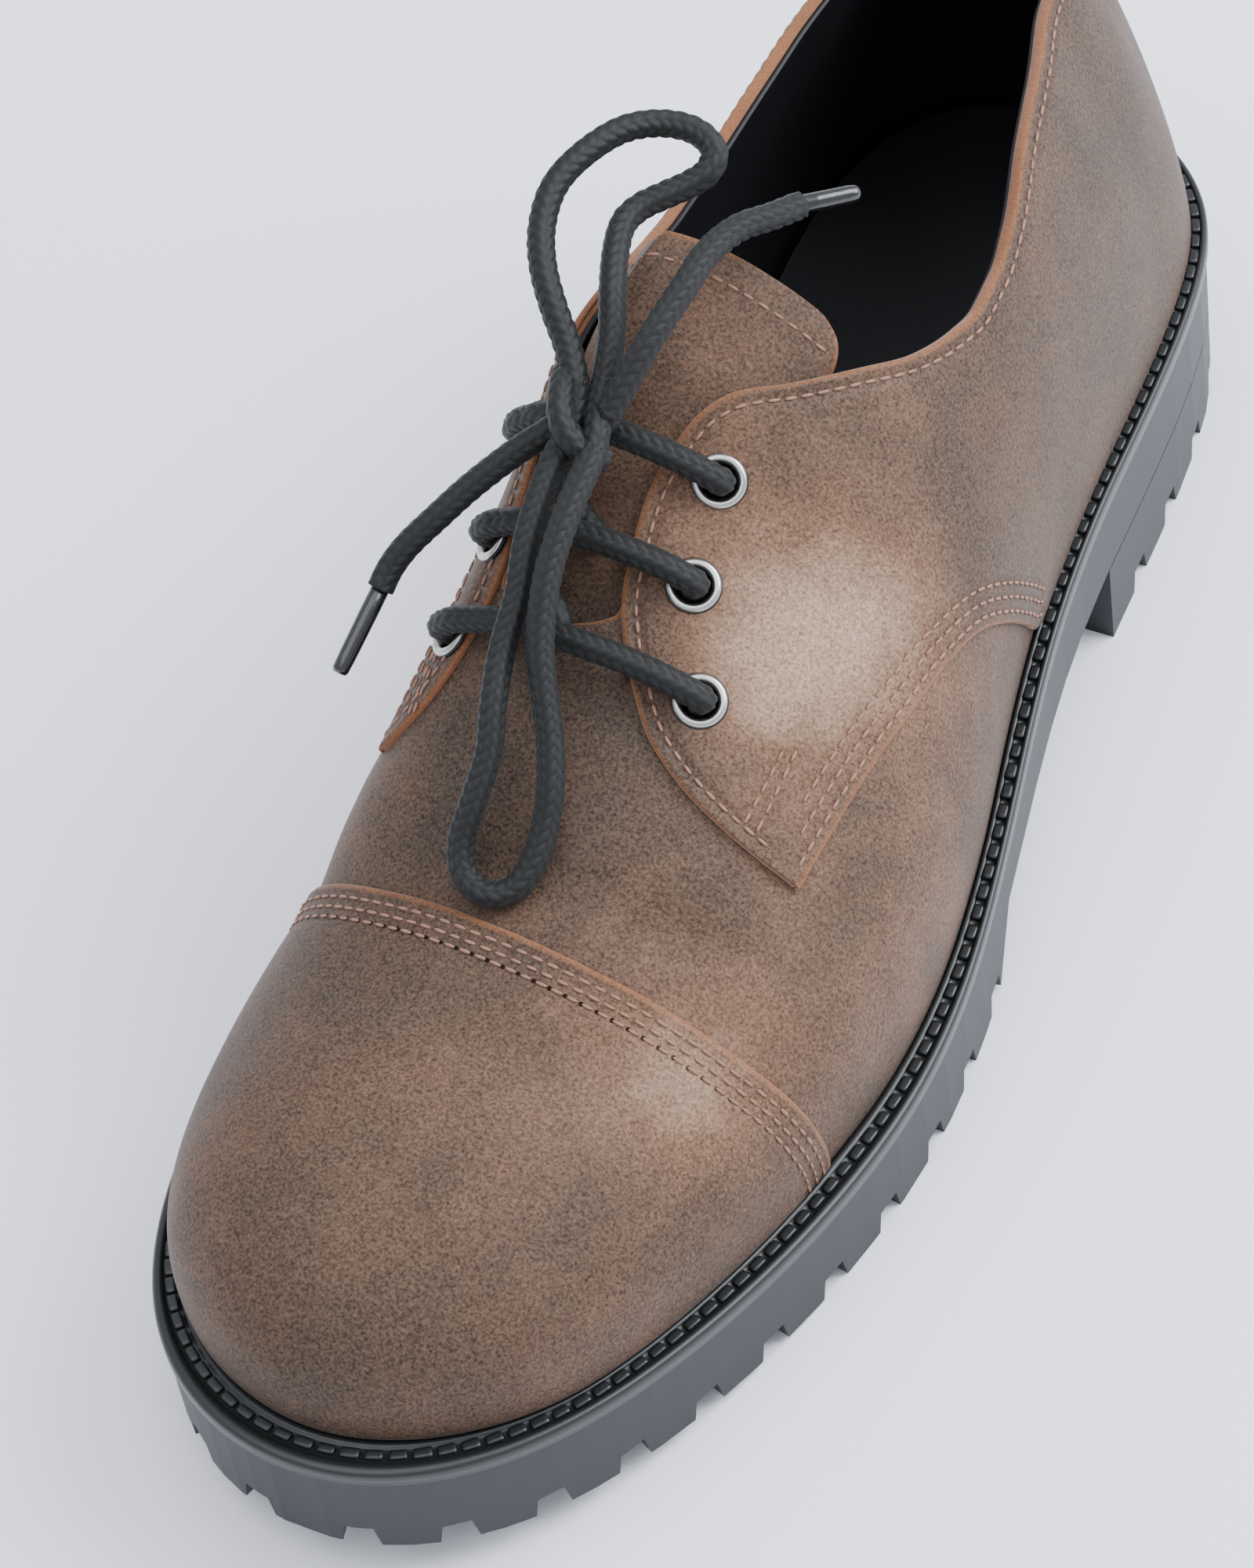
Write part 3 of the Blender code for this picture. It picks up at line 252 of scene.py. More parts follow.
# Front edge of the quarters down to the tip, and their seam from the tip to the welt:
# share of length, girth lateral, girth medial
FACING: Table = (
    (0.572, 0.893, 0.745),
    (0.590, 0.872, 0.735),
    (0.606, 0.840, 0.715),
    (0.618, 0.812, 0.690),
    (0.629, 0.770, 0.655),
    (0.637, 0.724, 0.615),
    (0.643, 0.665, 0.570),
    (0.647, 0.585, 0.530),
    (0.648, 0.515, 0.500),
)
SEAM: Table = (
    (0.375, 0.006, 0.006),
    (0.390, 0.030, 0.030),
    (0.405, 0.085, 0.085),
    (0.430, 0.176, 0.176),
    (0.455, 0.255, 0.255),
    (0.480, 0.318, 0.318),
    (0.500, 0.358, 0.355),
    (0.530, 0.400, 0.395),
    (0.560, 0.440, 0.430),
    (0.590, 0.470, 0.458),
    (0.620, 0.492, 0.478),
    (0.648, 0.508, 0.492),
)
# Rear edge of the toe cap: girth, share of length lateral, share of length medial
CAP_EDGE: Table = (
    (0.00, 0.722, 0.700),
    (0.25, 0.731, 0.706),
    (0.50, 0.736, 0.716),
    (0.75, 0.735, 0.726),
    (1.00, 0.732, 0.732),
)
# Sides of the tongue: share of length, girth lateral, girth medial
TONGUE: Table = (
    (0.399, 0.640, 0.500),
    (0.405, 0.630, 0.490),
    (0.420, 0.630, 0.490),
    (0.435, 0.640, 0.500),
    (0.450, 0.655, 0.510),
    (0.466, 0.670, 0.520),
    (0.484, 0.675, 0.525),
    (0.515, 0.685, 0.535),
    (0.548, 0.690, 0.545),
    (0.572, 0.695, 0.555),
    (0.586, 0.700, 0.570),
    (0.602, 0.710, 0.590),
)
# Eyelets: share of length, girth lateral, girth medial
EYELETS: Table = ((0.494, 0.761, 0.640), (0.545, 0.780, 0.655), (0.594, 0.742, 0.640))


@dataclass
class Last:
    """The last that the leather is drawn over, with the outline and the heights of the sole."""

    length: float = 0.3024
    ball_width: float = 0.1065
    heel_rise: float = 0.0336
    forepart: float = 0.0180
    toe_spring: float = 0.0090
    welt_thickness: float = 0.0030
    clearance: float = 0.0003
    cone_height: float = 0.1200
    heel_point: float = -0.054
    toe_point: float = -0.057
    heel_pole: float = 0.130
    toe_pole: float = 0.777
    softness: float = 0.020
    feather: tuple[Array, Array] = field(init=False)

    def __post_init__(self) -> None:
        """Works out the feather line once."""
        self.feather = self.ring(720, lambda s: self.row("welt", s) * 0.001)

    def row(self, name: str, share: float | Array) -> Array:
        """One column of the last's table."""
        names = ("share", "welt", "ridge", "aside", "lateral", "medial", "swell")
        return smooth(LAST_ROWS, names.index(name), share)

    def share(self, y: float | Array) -> Array:
        """Share of the sole's length, 0 at the heel."""
        return (self.length / 2 - y) / self.length

    def outline(self, angle: float | Array) -> tuple[Array, Array]:
        """Outline of the sole by angle, the lateral side first.

        Args:
            angle: Place round the sole: 0 at the heel, half a turn at the toe.

        Returns:
            X and Y of the outline.
        """
        shares = [r[0] for r in OUTLINE]
        knots = [0.0] + [float(side_angle(s)) for s in shares] + [math.pi]
        knots += [2 * math.pi - float(side_angle(s)) for s in reversed(shares)]
        values = [self.heel_point] + [r[2] for r in OUTLINE] + [self.toe_point]
        values += [-r[1] for r in reversed(OUTLINE)]
        x = closed_spline(np.array(knots), np.array(values), np.asarray(angle, float))
        return x * self.ball_width, self.length / 2 - (1 - np.cos(angle)) / 2 * self.length

    def ring(self, pairs: int, inset: Callable[[Array], Array]) -> tuple[Array, Array]:
        """Outline moved inwards, its stations in facing pairs.

        Args:
            pairs: Stations on each side.
            inset: Depth in metres at a share of the length.

        Returns:
            X and Y of the stations, from the heel over the lateral side and back.
        """
        dense = np.linspace(0, 2 * math.pi, 2881)[:-1]
        x, y = self.outline(dense)
        dx, dy = np.roll(x, -1) - np.roll(x, 1), np.roll(y, -1) - np.roll(y, 1)
        size = np.hypot(dx, dy)
        depth = inset(self.share(y))
        x, y = x + depth * dy / size, y - depth * dx / size
        low, high = int(np.argmax(y)), int(np.argmin(y))
        x, y = np.roll(x, -low), np.roll(y, -low)
        high = (high - low) % len(x)
        turn = np.linspace(0, 2 * math.pi, 2 * pairs, endpoint=False)
        place = y[0] + (y[high] - y[0]) * (1 - np.cos(turn)) / 2
        lateral = np.interp(-place, -y[: high + 1], x[: high + 1])
        medial = np.interp(place, np.append(y[high:], y[0]), np.append(x[high:], x[0]))
        return np.where(turn <= math.pi + 1e-9, lateral, medial), place

    def spring(self, share: float | Array) -> Array:
        """Lift of the toe."""
        return self.toe_spring * np.clip((np.asarray(share, float) - 0.68) / 0.32, 0, 1) ** 2

    def sole_top(self, share: float | Array) -> Array:
        """Top of the outsole above the floor."""
        rise = (self.heel_rise - self.forepart) * smooth(RISE, 1, share)
        return self.forepart + rise + self.spring(share)

    def at_feather(self, along: float | Array) -> Array:
        """Share of the feather's length for a share of the sole's."""
        heel, toe = self.feather[1][0], self.feather[1][len(self.feather[1]) // 2]
        return (self.length / 2 - np.asarray(along, float) * self.length - heel) / (toe - heel)

    def foot(self, share: Array, side: Array) -> tuple[Array, Array]:
        """Feather point of a station.

        Args:
            share: Share of the feather's length.
            side: LATERAL or MEDIAL.

        Returns:
            X and Y of the point.
        """
        x, y = self.feather
        half = len(x) // 2
        place = y[0] + (y[half] - y[0]) * np.asarray(share, float)
        medial = np.interp(place, np.append(y[half:], y[0]), np.append(x[half:], x[0]))
        lateral = np.interp(-place, -y[: half + 1], x[: half + 1])
        return np.where(side > 0, lateral, medial), place

    def bare(self, share: Array, side: Array, girth: Array) -> Array:
        """Point of the last; girth runs from 0 at the feather to 1 on the ridge.

        Args:
            share: Share of the feather's length.
            side: LATERAL or MEDIAL.
            girth: How far up the side.

        Returns:
            The point, in the last axis.
        """
        fx, fy = self.foot(share, side)
        along = self.share(fy)
        soft = self.softness
        capped = self.toe_pole - soft * np.logaddexp(0, (self.toe_pole - along) / soft)
        ridge = self.heel_pole + soft * np.logaddexp(0, (capped - self.heel_pole) / soft)
        rx = self.row("aside", ridge) * self.ball_width
        ry = self.length / 2 - ridge * self.length
        rz = self.row("ridge", ridge) * self.cone_height
        fz = self.sole_top(along) + self.welt_thickness + 2 * self.clearance
        blend = np.clip((fx - rx) / 0.024 + 0.5, 0, 1)
        blend = blend * blend * (3 - 2 * blend)
        full = blend * self.row("lateral", along) + (1 - blend) * self.row("medial", along)
        angle = np.clip(girth, 0, 1) * math.pi / 2
        inward = 1 - np.abs(np.cos(angle)) ** (2 / full)
        upward = np.abs(np.sin(angle)) ** (2 / full)
        swell = self.row("swell", along) * 0.001 / np.hypot(rx - fx, ry - fy)
        inward = inward - swell * np.sin(math.pi * np.clip(girth / 0.8, 0, 1))
        return np.stack(
            [fx + (rx - fx) * inward, fy + (ry - fy) * inward, fz + (rz - fz) * upward], -1
        )

    def normal(self, share: Array, side: Array, girth: Array) -> Array:
        """Way that the skin thickens, outwards.

        Args:
            share: Share of the feather's length.
            side: LATERAL or MEDIAL.
            girth: How far up the side.

        Returns:
            The direction, of length one.
        """
        share, side, girth = np.broadcast_arrays(np.asarray(share, float), side, girth)
        total = np.zeros(share.shape + (3,))
        step, high = 0.004, np.minimum(girth, 0.985)
        for turn in (1, -1):
            way = side * turn
            here = np.clip(share, step, 1 - step)
            ahead = self.bare(here + step, way, high) - self.bare(here - step, way, high)
            above = self.bare(here, way, np.minimum(high + 0.01, 0.995))
            below = self.bare(here, way, np.maximum(high - 0.01, 0.0))
            out = unit(np.cross(above - below, ahead) * way[..., None])
            if turn < 0:
                top = np.clip((girth - 0.93) / 0.07, 0, 1)
                ends = np.maximum(1 - share / 0.02, (share - 0.98) / 0.02)
                out = out * np.maximum(top, np.clip(ends, 0, 1))[..., None]
            total += out
        total = unit(total)
        along = self.share(self.bare(share, side, girth)[..., 1])
        crown = np.clip((along - 0.715) / 0.045, 0, 1) * np.clip((girth - 0.70) / 0.25, 0, 1)
        crown = (crown * crown * (3 - 2 * crown))[..., None]
        total = total * (1 - crown) + np.array((0.0, -0.42, 0.91)) * crown
        foot = np.clip(girth / 0.04, 0, 1)[..., None]
        level = unit(total * np.array([1.0, 1.0, 0.0]))
        return unit(total * foot + level * (1 - foot))

    def skin(self, share: Array, side: Array, girth: Array, lift: float | Array = 0.0) -> Array:
        """Point of the last moved out along its normal.

        Args:
            share: Share of the feather's length.
            side: LATERAL or MEDIAL.
            girth: How far up the side.
            lift: How far out, in metres.

        Returns:
            The point, in the last axis.
        """
        share, side, girth = np.broadcast_arrays(np.asarray(share, float), side, girth)
        lift = np.broadcast_to(np.asarray(lift, float), share.shape)
        return self.bare(share, side, girth) + self.normal(share, side, girth) * lift[..., None]

    def walk(self, share: Array, side: Array, girth: Array, move: Array) -> tuple[Array, Array]:
        """Share and girth of the point reached by moving over the surface.

        Args:
            share: Share of the feather's length at the start.
            side: LATERAL or MEDIAL.
            girth: Girth at the start.
            move: How far and which way, in metres.

        Returns:
            The new share and girth.
        """
        goal = self.bare(share, side, girth) + move
        for _ in range(5):
            here = self.bare(share, side, girth)
            e = 1e-4
            a = (self.bare(share + e, side, girth) - here) / e
            b = (self.bare(share, side, girth + e) - here) / e
            miss = goal - here
            aa, ab, bb = (a * a).sum(-1), (a * b).sum(-1), (b * b).sum(-1)
            am, bm = (a * miss).sum(-1), (b * miss).sum(-1)
            det = aa * bb - ab * ab + 1e-18
            share = share + np.clip((am * bb - bm * ab) / det, -0.02, 0.02)
            girth = girth + np.clip((bm * aa - am * ab) / det, -0.05, 0.05)
            share, girth = np.clip(share, 0.0, 1.0), np.clip(girth, 0.0, 0.9999)
        return share, girth


# Finishes
def linear(code: str) -> tuple[float, float, float, float]:
    """Linear colour for an sRGB hex code such as "#7a6152".

    Args:
        code: The sRGB hex code.

    Returns:
        Red, green, blue and alpha.
    """
    parts = [int(code[i : i + 2], 16) / 255 for i in (1, 3, 5)]
    r, g, b = [c / 12.92 if c <= 0.04045 else ((c + 0.055) / 1.055) ** 2.4 for c in parts]
    return r, g, b, 1.0


def add(tree: bpy.types.NodeTree, kind: str, inputs: dict | None = None,
        **settings: object) -> bpy.types.Node:
    """Adds a node with its settings, values and links.

    Args:
        tree: The tree that gets the node.
        kind: The node's type name.
        inputs: Values, sockets or nodes by input name or number; a node gives its first output.
        **settings: Properties of the node.

    Returns:
        The new node.
    """
    node = tree.nodes.new(kind)
    for name, value in settings.items():
        setattr(node, name, value)
    for key, value in (inputs or {}).items():
        if isinstance(value, bpy.types.Node):
            value = value.outputs[0]
        if isinstance(value, bpy.types.NodeSocket):
            tree.links.new(value, node.inputs[key])
        else:
            node.inputs[key].default_value = value
    return node


def set_stops(ramp: bpy.types.ColorRamp, stops: Sequence[tuple[float, str]]) -> None:
    """Gives a colour ramp its stops, each a place and an sRGB hex code.

    Args:
        ramp: The ramp that gets them.
        stops: Place and hex code of each stop.
    """
    for _ in range(len(stops) - 2):
        ramp.elements.new(0.5)
    for element, (place, code) in zip(ramp.elements, stops):
        element.position = place
        element.color = linear(code)


@dataclass(frozen=True)
class Finish:
    """A plain finish: colour, roughness and a fine grain."""

    name: str
    colour: str
    roughness: float = 0.6
    metallic: float = 0.0
    grain_mm: float = 0.4
    grain_depth_mm: float = 0.03
    mottle: float = 0.12
    specular: float = 0.5
    coat: float = 0.0
    sheen: float = 0.0

    def start(self) -> tuple[bpy.types.Material, bpy.types.NodeTree, bpy.types.Node]:
        """A new material with its tree and its shader.

        Returns:
            The material, its tree and its shader node.
        """
        made = bpy.data.materials.new(self.name)
        made.use_nodes = True
        tree = made.node_tree
        shader = tree.nodes["Principled BSDF"]
        shader.inputs["Roughness"].default_value = self.roughness
        shader.inputs["Metallic"].default_value = self.metallic
        shader.inputs["Specular IOR Level"].default_value = self.specular
        shader.inputs["Coat Weight"].default_value = self.coat
        shader.inputs["Coat Roughness"].default_value = 0.3
        shader.inputs["Sheen Weight"].default_value = self.sheen
        shader.inputs["Sheen Roughness"].default_value = 0.45
        return made, tree, shader

    def finish(self, tree: bpy.types.NodeTree, shader: bpy.types.Node, base: bpy.types.NodeSocket,
               height: bpy.types.Node, depth_mm: float) -> None:
        """Links the colour and the relief to the shader.

        Args:
            tree: The material's tree.
            shader: Its shader node.
            base: Socket of the colour.
            height: Node of the relief, 0 to 1.
            depth_mm: Depth of that relief.
        """
        bump = add(tree, "ShaderNodeBump", {"Height": height, "Distance": depth_mm * 0.001})
        tree.links.new(base, shader.inputs["Base Color"])
        tree.links.new(bump.outputs[0], shader.inputs["Normal"])

    def build(self) -> bpy.types.Material:
        """Makes the material.

        Returns:
            The material.
        """
        made, tree, shader = self.start()
        place = add(tree, "ShaderNodeTexCoord").outputs["Object"]
        grain = add(tree, "ShaderNodeTexNoise",
                    {"Vector": place, "Scale": 1000 / self.grain_mm, "Detail": 3.0, "Roughness": 0.6})
        cloud = add(tree, "ShaderNodeTexNoise", {"Vector": place, "Scale": 55.0, "Detail": 3.0})
        fine = add(tree, "ShaderNodeMath", {0: grain, 1: self.mottle * 1.2, 2: 1 - self.mottle * 1.1},
                   operation="MULTIPLY_ADD")
        tone = add(tree, "ShaderNodeMath", {0: cloud, 1: self.mottle, 2: fine}, operation="MULTIPLY_ADD")
        base = add(tree, "ShaderNodeMix", {0: 1.0, 6: linear(self.colour), 7: tone},
                   data_type="RGBA", blend_type="MULTIPLY").outputs[2]
        self.finish(tree, shader, base, grain, self.grain_depth_mm)
        return made


@dataclass(frozen=True)
class Nubuck(Finish):
    """Oiled nubuck: buffed grain side, so it is matt with a short nap, cloudy brown tones with painted
    highlights and painted shade, lighter where the hide is pulled, and small dark and light flecks."""

    shadow: str = "#1f1815"
    umber: str = "#412e23"
    pale: str = "#b39780"
    warm: str = "#8a5a3c"
    cut: str = "#8f5a34"
    cloud_mm: float = 30.0
    fleck_mm: float = 0.55

    def build(self) -> bpy.types.Material:
        """Makes the material; reads the attributes tone, edge_mm and stitch_mm.

        Returns:
            The material.
        """
        made, tree, shader = self.start()
        place = add(tree, "ShaderNodeTexCoord").outputs["Object"]
        brushed = add(tree, "ShaderNodeMapping", {"Vector": place, "Scale": (1.0, 3.2, 1.6)})
        tone_and_painted_light = add(tree, "ShaderNodeAttribute", attribute_name="tone").outputs["Fac"]
        edge = add(tree, "ShaderNodeAttribute", attribute_name="edge_mm").outputs["Fac"]
        stitch = add(tree, "ShaderNodeAttribute", attribute_name="stitch_mm").outputs["Fac"]
        cloud = add(tree, "ShaderNodeTexNoise", {"Vector": place, "Scale": 1000 / self.cloud_mm,
                                                 "Detail": 3.0, "Roughness": 0.55})
        patch = add(tree, "ShaderNodeTexNoise", {"Vector": place, "Scale": 140.0, "Detail": 3.0})
        fleck = add(tree, "ShaderNodeTexNoise", {"Vector": place, "Scale": 1000 / self.fleck_mm,
                                                 "Detail": 4.0, "Roughness": 0.7})
        nap = add(tree, "ShaderNodeTexNoise", {"Vector": brushed, "Scale": 450.0, "Detail": 2.0})
        warmth = add(tree, "ShaderNodeTexNoise", {"Vector": place, "Scale": 62.0, "Detail": 2.0})

        # Cloudy tone of the pulled and the oily places, plus painted highlights and painted shade from the
        # tone attribute
        tone = add(tree, "ShaderNodeMath", {0: cloud, 1: 0.42, 2: 0.04}, operation="MULTIPLY_ADD")
        tone = add(tree, "ShaderNodeMath", {0: patch, 1: 0.22, 2: tone}, operation="MULTIPLY_ADD")
        tone = add(tree, "ShaderNodeMath", {0: nap, 1: 0.12, 2: tone}, operation="MULTIPLY_ADD")
        tone = add(tree, "ShaderNodeMath", {0: tone_and_painted_light, 1: 0.36, 2: tone}, operation="MULTIPLY_ADD")
        brown = add(tree, "ShaderNodeValToRGB", {0: tone})
        set_stops(brown.color_ramp, ((0.18, self.shadow), (0.42, self.umber),
                                     (0.66, self.colour), (0.92, self.pale)))
        warmth = add(tree, "ShaderNodeMath", {0: warmth, 1: 0.45, 2: -0.17}, operation="MULTIPLY_ADD",
                     use_clamp=True)
        base = add(tree, "ShaderNodeMix", {0: warmth, 6: brown, 7: linear(self.warm)},
                   data_type="RGBA").outputs[2]

        # Flecks of the nap, dark and light
        sharp = add(tree, "ShaderNodeMath", {0: fleck, 1: 2.8, 2: -0.9}, operation="MULTIPLY_ADD",
                    use_clamp=True)
        dark = add(tree, "ShaderNodeMix", {0: 1.0, 6: base, 7: linear("#a0958e")},
                   data_type="RGBA", blend_type="MULTIPLY").outputs[2]
        light = add(tree, "ShaderNodeMix", {0: 0.16, 6: base, 7: linear("#c9a98c")},
                    data_type="RGBA").outputs[2]
        base = add(tree, "ShaderNodeMix", {0: sharp, 6: dark, 7: light}, data_type="RGBA").outputs[2]

        # Undyed fibres show along the cut edges
        near = add(tree, "ShaderNodeMath", {0: edge, 1: -0.9, 2: 1.0}, operation="MULTIPLY_ADD",
                   use_clamp=True)
        broken = add(tree, "ShaderNodeMath", {0: fleck, 1: 1.1, 2: 0.1}, operation="MULTIPLY_ADD")
        rim = add(tree, "ShaderNodeMath", {0: near, 1: broken}, operation="MULTIPLY", use_clamp=True)
        base = add(tree, "ShaderNodeMix", {0: rim, 6: base, 7: linear(self.cut)},
                   data_type="RGBA").outputs[2]

        # Oily places shine a little, stitch rows pull the hide down
        shine = add(tree, "ShaderNodeMath", {0: cloud, 1: -0.25, 2: self.roughness + 0.12},
                    operation="MULTIPLY_ADD")
        tree.links.new(shine.outputs[0], shader.inputs["Roughness"])
        pull = add(tree, "ShaderNodeMath", {0: stitch, 1: 1.1, 2: -1.0}, operation="MULTIPLY_ADD")
        pull = add(tree, "ShaderNodeMath", {0: pull, 1: 0.0}, operation="MINIMUM")
        height = add(tree, "ShaderNodeMath", {0: fleck, 1: 0.18, 2: pull}, operation="MULTIPLY_ADD")
        height = add(tree, "ShaderNodeMath", {0: nap, 1: 0.12, 2: height}, operation="MULTIPLY_ADD")
        self.finish(tree, shader, base, height, 0.42)
        return made


@dataclass(frozen=True)
class Braid(Finish):
    """Braided polyester yarn: black with a soft lustre on the strands and painted shade in the gaps
    between them.
    """

    gap_shade: str = "#020202"

    def build(self) -> bpy.types.Material:
        """Makes the material; reads the attribute strand, 0 in the gaps and 1 on the crowns.

        Returns:
            The material.
        """
        made, tree, shader = self.start()
        place = add(tree, "ShaderNodeTexCoord").outputs["Object"]
        strand = add(tree, "ShaderNodeAttribute", attribute_name="strand").outputs["Fac"]
        fibre = add(tree, "ShaderNodeTexNoise", {"Vector": place, "Scale": 2800.0, "Roughness": 0.7})
        low = add(tree, "ShaderNodeMath", {0: strand, 1: 0.3}, operation="SUBTRACT")
        lift = add(tree, "ShaderNodeMath", {0: fibre, 1: 0.5, 2: low}, operation="MULTIPLY_ADD")
        # Towards the gaps the yarn turns to the gap colour: painted shade between the strands
        yarn = add(tree, "ShaderNodeValToRGB", {0: lift})
        set_stops(yarn.color_ramp, ((0.05, self.gap_shade), (0.75, self.colour)))
        self.finish(tree, shader, yarn.outputs[0], fibre, 0.1)
        return made


class Finishes:
    """Every finish of the shoe, made once."""

    def __init__(self) -> None:
        """Makes the materials."""
        # Oiled nubuck, buffed: matt brown with a dry, dusty lustre
        self.nubuck = Nubuck("oiled nubuck", "#765642", 0.62, specular=0.22, sheen=0.08).build()
        # The cut side of the hide shows its undyed, orange-brown fibres
        self.cut = Finish("cut hide edge", "#7f5030", 0.9, grain_mm=0.5, grain_depth_mm=0.25,
                          mottle=0.7, sheen=0.3).build()
        # Waxed polyester thread, pinkish brown with a slight shine
        self.thread = Finish("waxed polyester thread", "#8c6552", 0.5, grain_mm=0.3,
                             grain_depth_mm=0.08, mottle=0.5).build()
        # A needle hole is a pit; its shade is painted as a flat dark disc
        self.hole = Finish("painted needle hole shade", "#1c120c", 0.95, specular=0.1).build()
        # Smooth calf lining, dyed black
        self.lining = Finish("black calf lining", "#101013", 0.5, grain_mm=0.9, grain_depth_mm=0.04,
                             specular=0.35).build()
        # Nitrile rubber, moulded: matt blue-black with a faint bloom
        self.rubber = Finish("moulded nitrile rubber", "#14181c", 0.5, grain_mm=0.35,
                             grain_depth_mm=0.02, mottle=0.10, specular=0.42).build()
        # The welt is the same rubber from a polished mould, so it shines a little
        self.welt = Finish("polished rubber welt", "#161919", 0.36, grain_mm=1.2,
                           grain_depth_mm=0.02, mottle=0.12).build()
        # Nickel plate on brass: bright and nearly smooth
        self.nickel = Finish("nickel plated brass", "#b4b4b0", 0.26, 1.0, grain_mm=0.6,
                             grain_depth_mm=0.004, mottle=0.05).build()
        # Oxide left in the fold of the eyelet makes its outer rim dark
        self.oxide = Finish("oxidised nickel rim", "#3c3f41", 0.45, 1.0, mottle=0.2).build()
        self.braid = Braid("braided polyester cord", "#161817", 0.6, specular=0.35, sheen=0.05).build()
        # Acetate film shrunk round the lace's end: black and glossy
        self.film = Finish("acetate lace tip", "#0f1010", 0.16, grain_mm=1.4, grain_depth_mm=0.08,
                           coat=0.5).build()


# Meshes
def mesh_piece(name: str, vertices: Array, faces: Sequence[Sequence[int]],
               finishes: Sequence[bpy.types.Material], slots: Array | None = None,
               weld: float = 0.0, **values: Array) -> bpy.types.Object:
    """A mesh object at the origin.

    Args:
        name: The piece's name.
        vertices: Points, one a row.
        faces: Vertex numbers of each face.
        finishes: Its materials.
        slots: The material slot of each face.
        weld: Distance under which points are merged, 0 for none.
        **values: Attributes, a value for each point.

    Returns:
        The object, smooth shaded.
    """
    mesh = bpy.data.meshes.new(name)
    mesh.from_pydata(np.asarray(vertices, float).tolist(), [], [list(f) for f in faces])
    for key, data in values.items():
        mesh.attributes.new(key, "FLOAT", "POINT").data.foreach_set("value", np.ravel(data))
    for finish in finishes:
        mesh.materials.append(finish)
    if slots is not None:
        mesh.polygons.foreach_set("material_index", np.asarray(slots, int))
    work = bmesh.new()
    work.from_mesh(mesh)
    if weld:
        bmesh.ops.remove_doubles(work, verts=work.verts, dist=weld)
    bmesh.ops.recalc_face_normals(work, faces=work.faces)
    work.to_mesh(mesh)
    work.free()
    mesh.shade_smooth()
    thing = bpy.data.objects.new(name, mesh)
    bpy.context.scene.collection.objects.link(thing)
    return thing


def grid_faces(rows: int, columns: int, start: int = 0, ring: bool = False,
               flip: bool = False) -> list[list[int]]:
    """Quads over a grid of points stored row by row.

    Args:
        rows: Rows of points.
        columns: Points in a row.
        start: Number of the first point.
        ring: Whether the last row joins the first.
        flip: Whether the faces point the other way.

    Returns:
        Vertex numbers of each quad.
    """
    i = np.arange(rows if ring else rows - 1)[:, None]
    j = np.arange(columns - 1)[None, :]
    k = (i + 1) % rows
    quads = np.stack([i * columns + j, k * columns + j, k * columns + j + 1, i * columns + j + 1], -1)
    quads = quads.reshape(-1, 4) + start
    return (quads[:, ::-1] if flip else quads).tolist()


def wall(name: str, outer: Array, inner: Array, finishes: Sequence[bpy.types.Material],
         ring: bool = False, open_ridge: Array | None = None, round_mm: float = 0.18,
         **values: Array) -> bpy.types.Object:
    """Leather between two grids, with rounded cut edges in its second finish.

    Args:
        name: The piece's name.
        outer: Outer points, stations by rows.
        inner: Inner points, the same size.
        finishes: Finish of the faces and of the cut edges.
        ring: Whether the last station joins the first.
        open_ridge: Stations that have no edge at their last row, as both sides meet there.
        round_mm: How far the cut edges bulge.
        **values: Attributes of the outer points, stations by rows.

    Returns:
        The closed piece.
    """
    rows, columns = outer.shape[:2]
    count = rows * columns
    points = [outer.reshape(-1, 3), inner.reshape(-1, 3)]
    extra = {key: [np.ravel(v), np.ravel(v)] for key, v in values.items()}
    faces = grid_faces(rows, columns, 0, ring) + grid_faces(rows, columns, count, ring, True)
    slots = [0] * len(faces)
    number = np.arange(2 * count).reshape(2, rows, columns)
    borders = [(number[:, :, 0], outer[:, 1], ring), (number[:, :, -1], outer[:, -2], ring)]
    if not ring:
        borders += [(number[:, 0, :], outer[1], False), (number[:, -1, :], outer[-2], False)]
    flat = np.concatenate(points)
    for b, (line, second, closed) in enumerate(borders):
        top, low = flat[line[0]], flat[line[1]]
        away = unit(top - second)
        loops = [line[0]]
        for t, bulge in ((0.2, 0.8), (0.5, 1.0), (0.8, 0.8)):
            loop = top + (low - top) * t + away * bulge * round_mm * 0.001
            loops.append(np.arange(len(loop)) + sum(len(p) for p in points))
            points.append(loop)
            for key in extra:
                extra[key].append(np.ravel(values[key])[line[0]] if key != "edge_mm" else 0 * loop[:, 0])
        loops.append(line[1])
        n = line.shape[1]
        for a, c in zip(loops[:-1], loops[1:]):
            for i in range(n if closed else n - 1):
                k = (i + 1) % n
                if b == 1 and open_ridge is not None and open_ridge[i] and open_ridge[k]:
                    continue
                faces.append([int(a[i]), int(a[k]), int(c[k]), int(c[i])])
                slots.append(1)
    joined = {key: np.concatenate(v) for key, v in extra.items()}
    return mesh_piece(name, np.concatenate(points), faces, finishes, np.array(slots), 2e-6, **joined)


def distance_mm(points: Array, lines: Sequence[Array]) -> Array:
    """Distance in millimetres from each point to the nearest of some lines.

    Args:
        points: Where the distance is read.
        lines: The lines, metres.

    Returns:
        The distance at each point.
    """
    line = np.concatenate([even(np.asarray(p), 0.0003) for p in lines])
    tree = KDTree(len(line))
    for i, p in enumerate(line):
        tree.insert(p, i)
    tree.balance()
    flat = points.reshape(-1, 3)
    return np.array([tree.find(p)[2] for p in flat]).reshape(points.shape[:-1]) * 1000
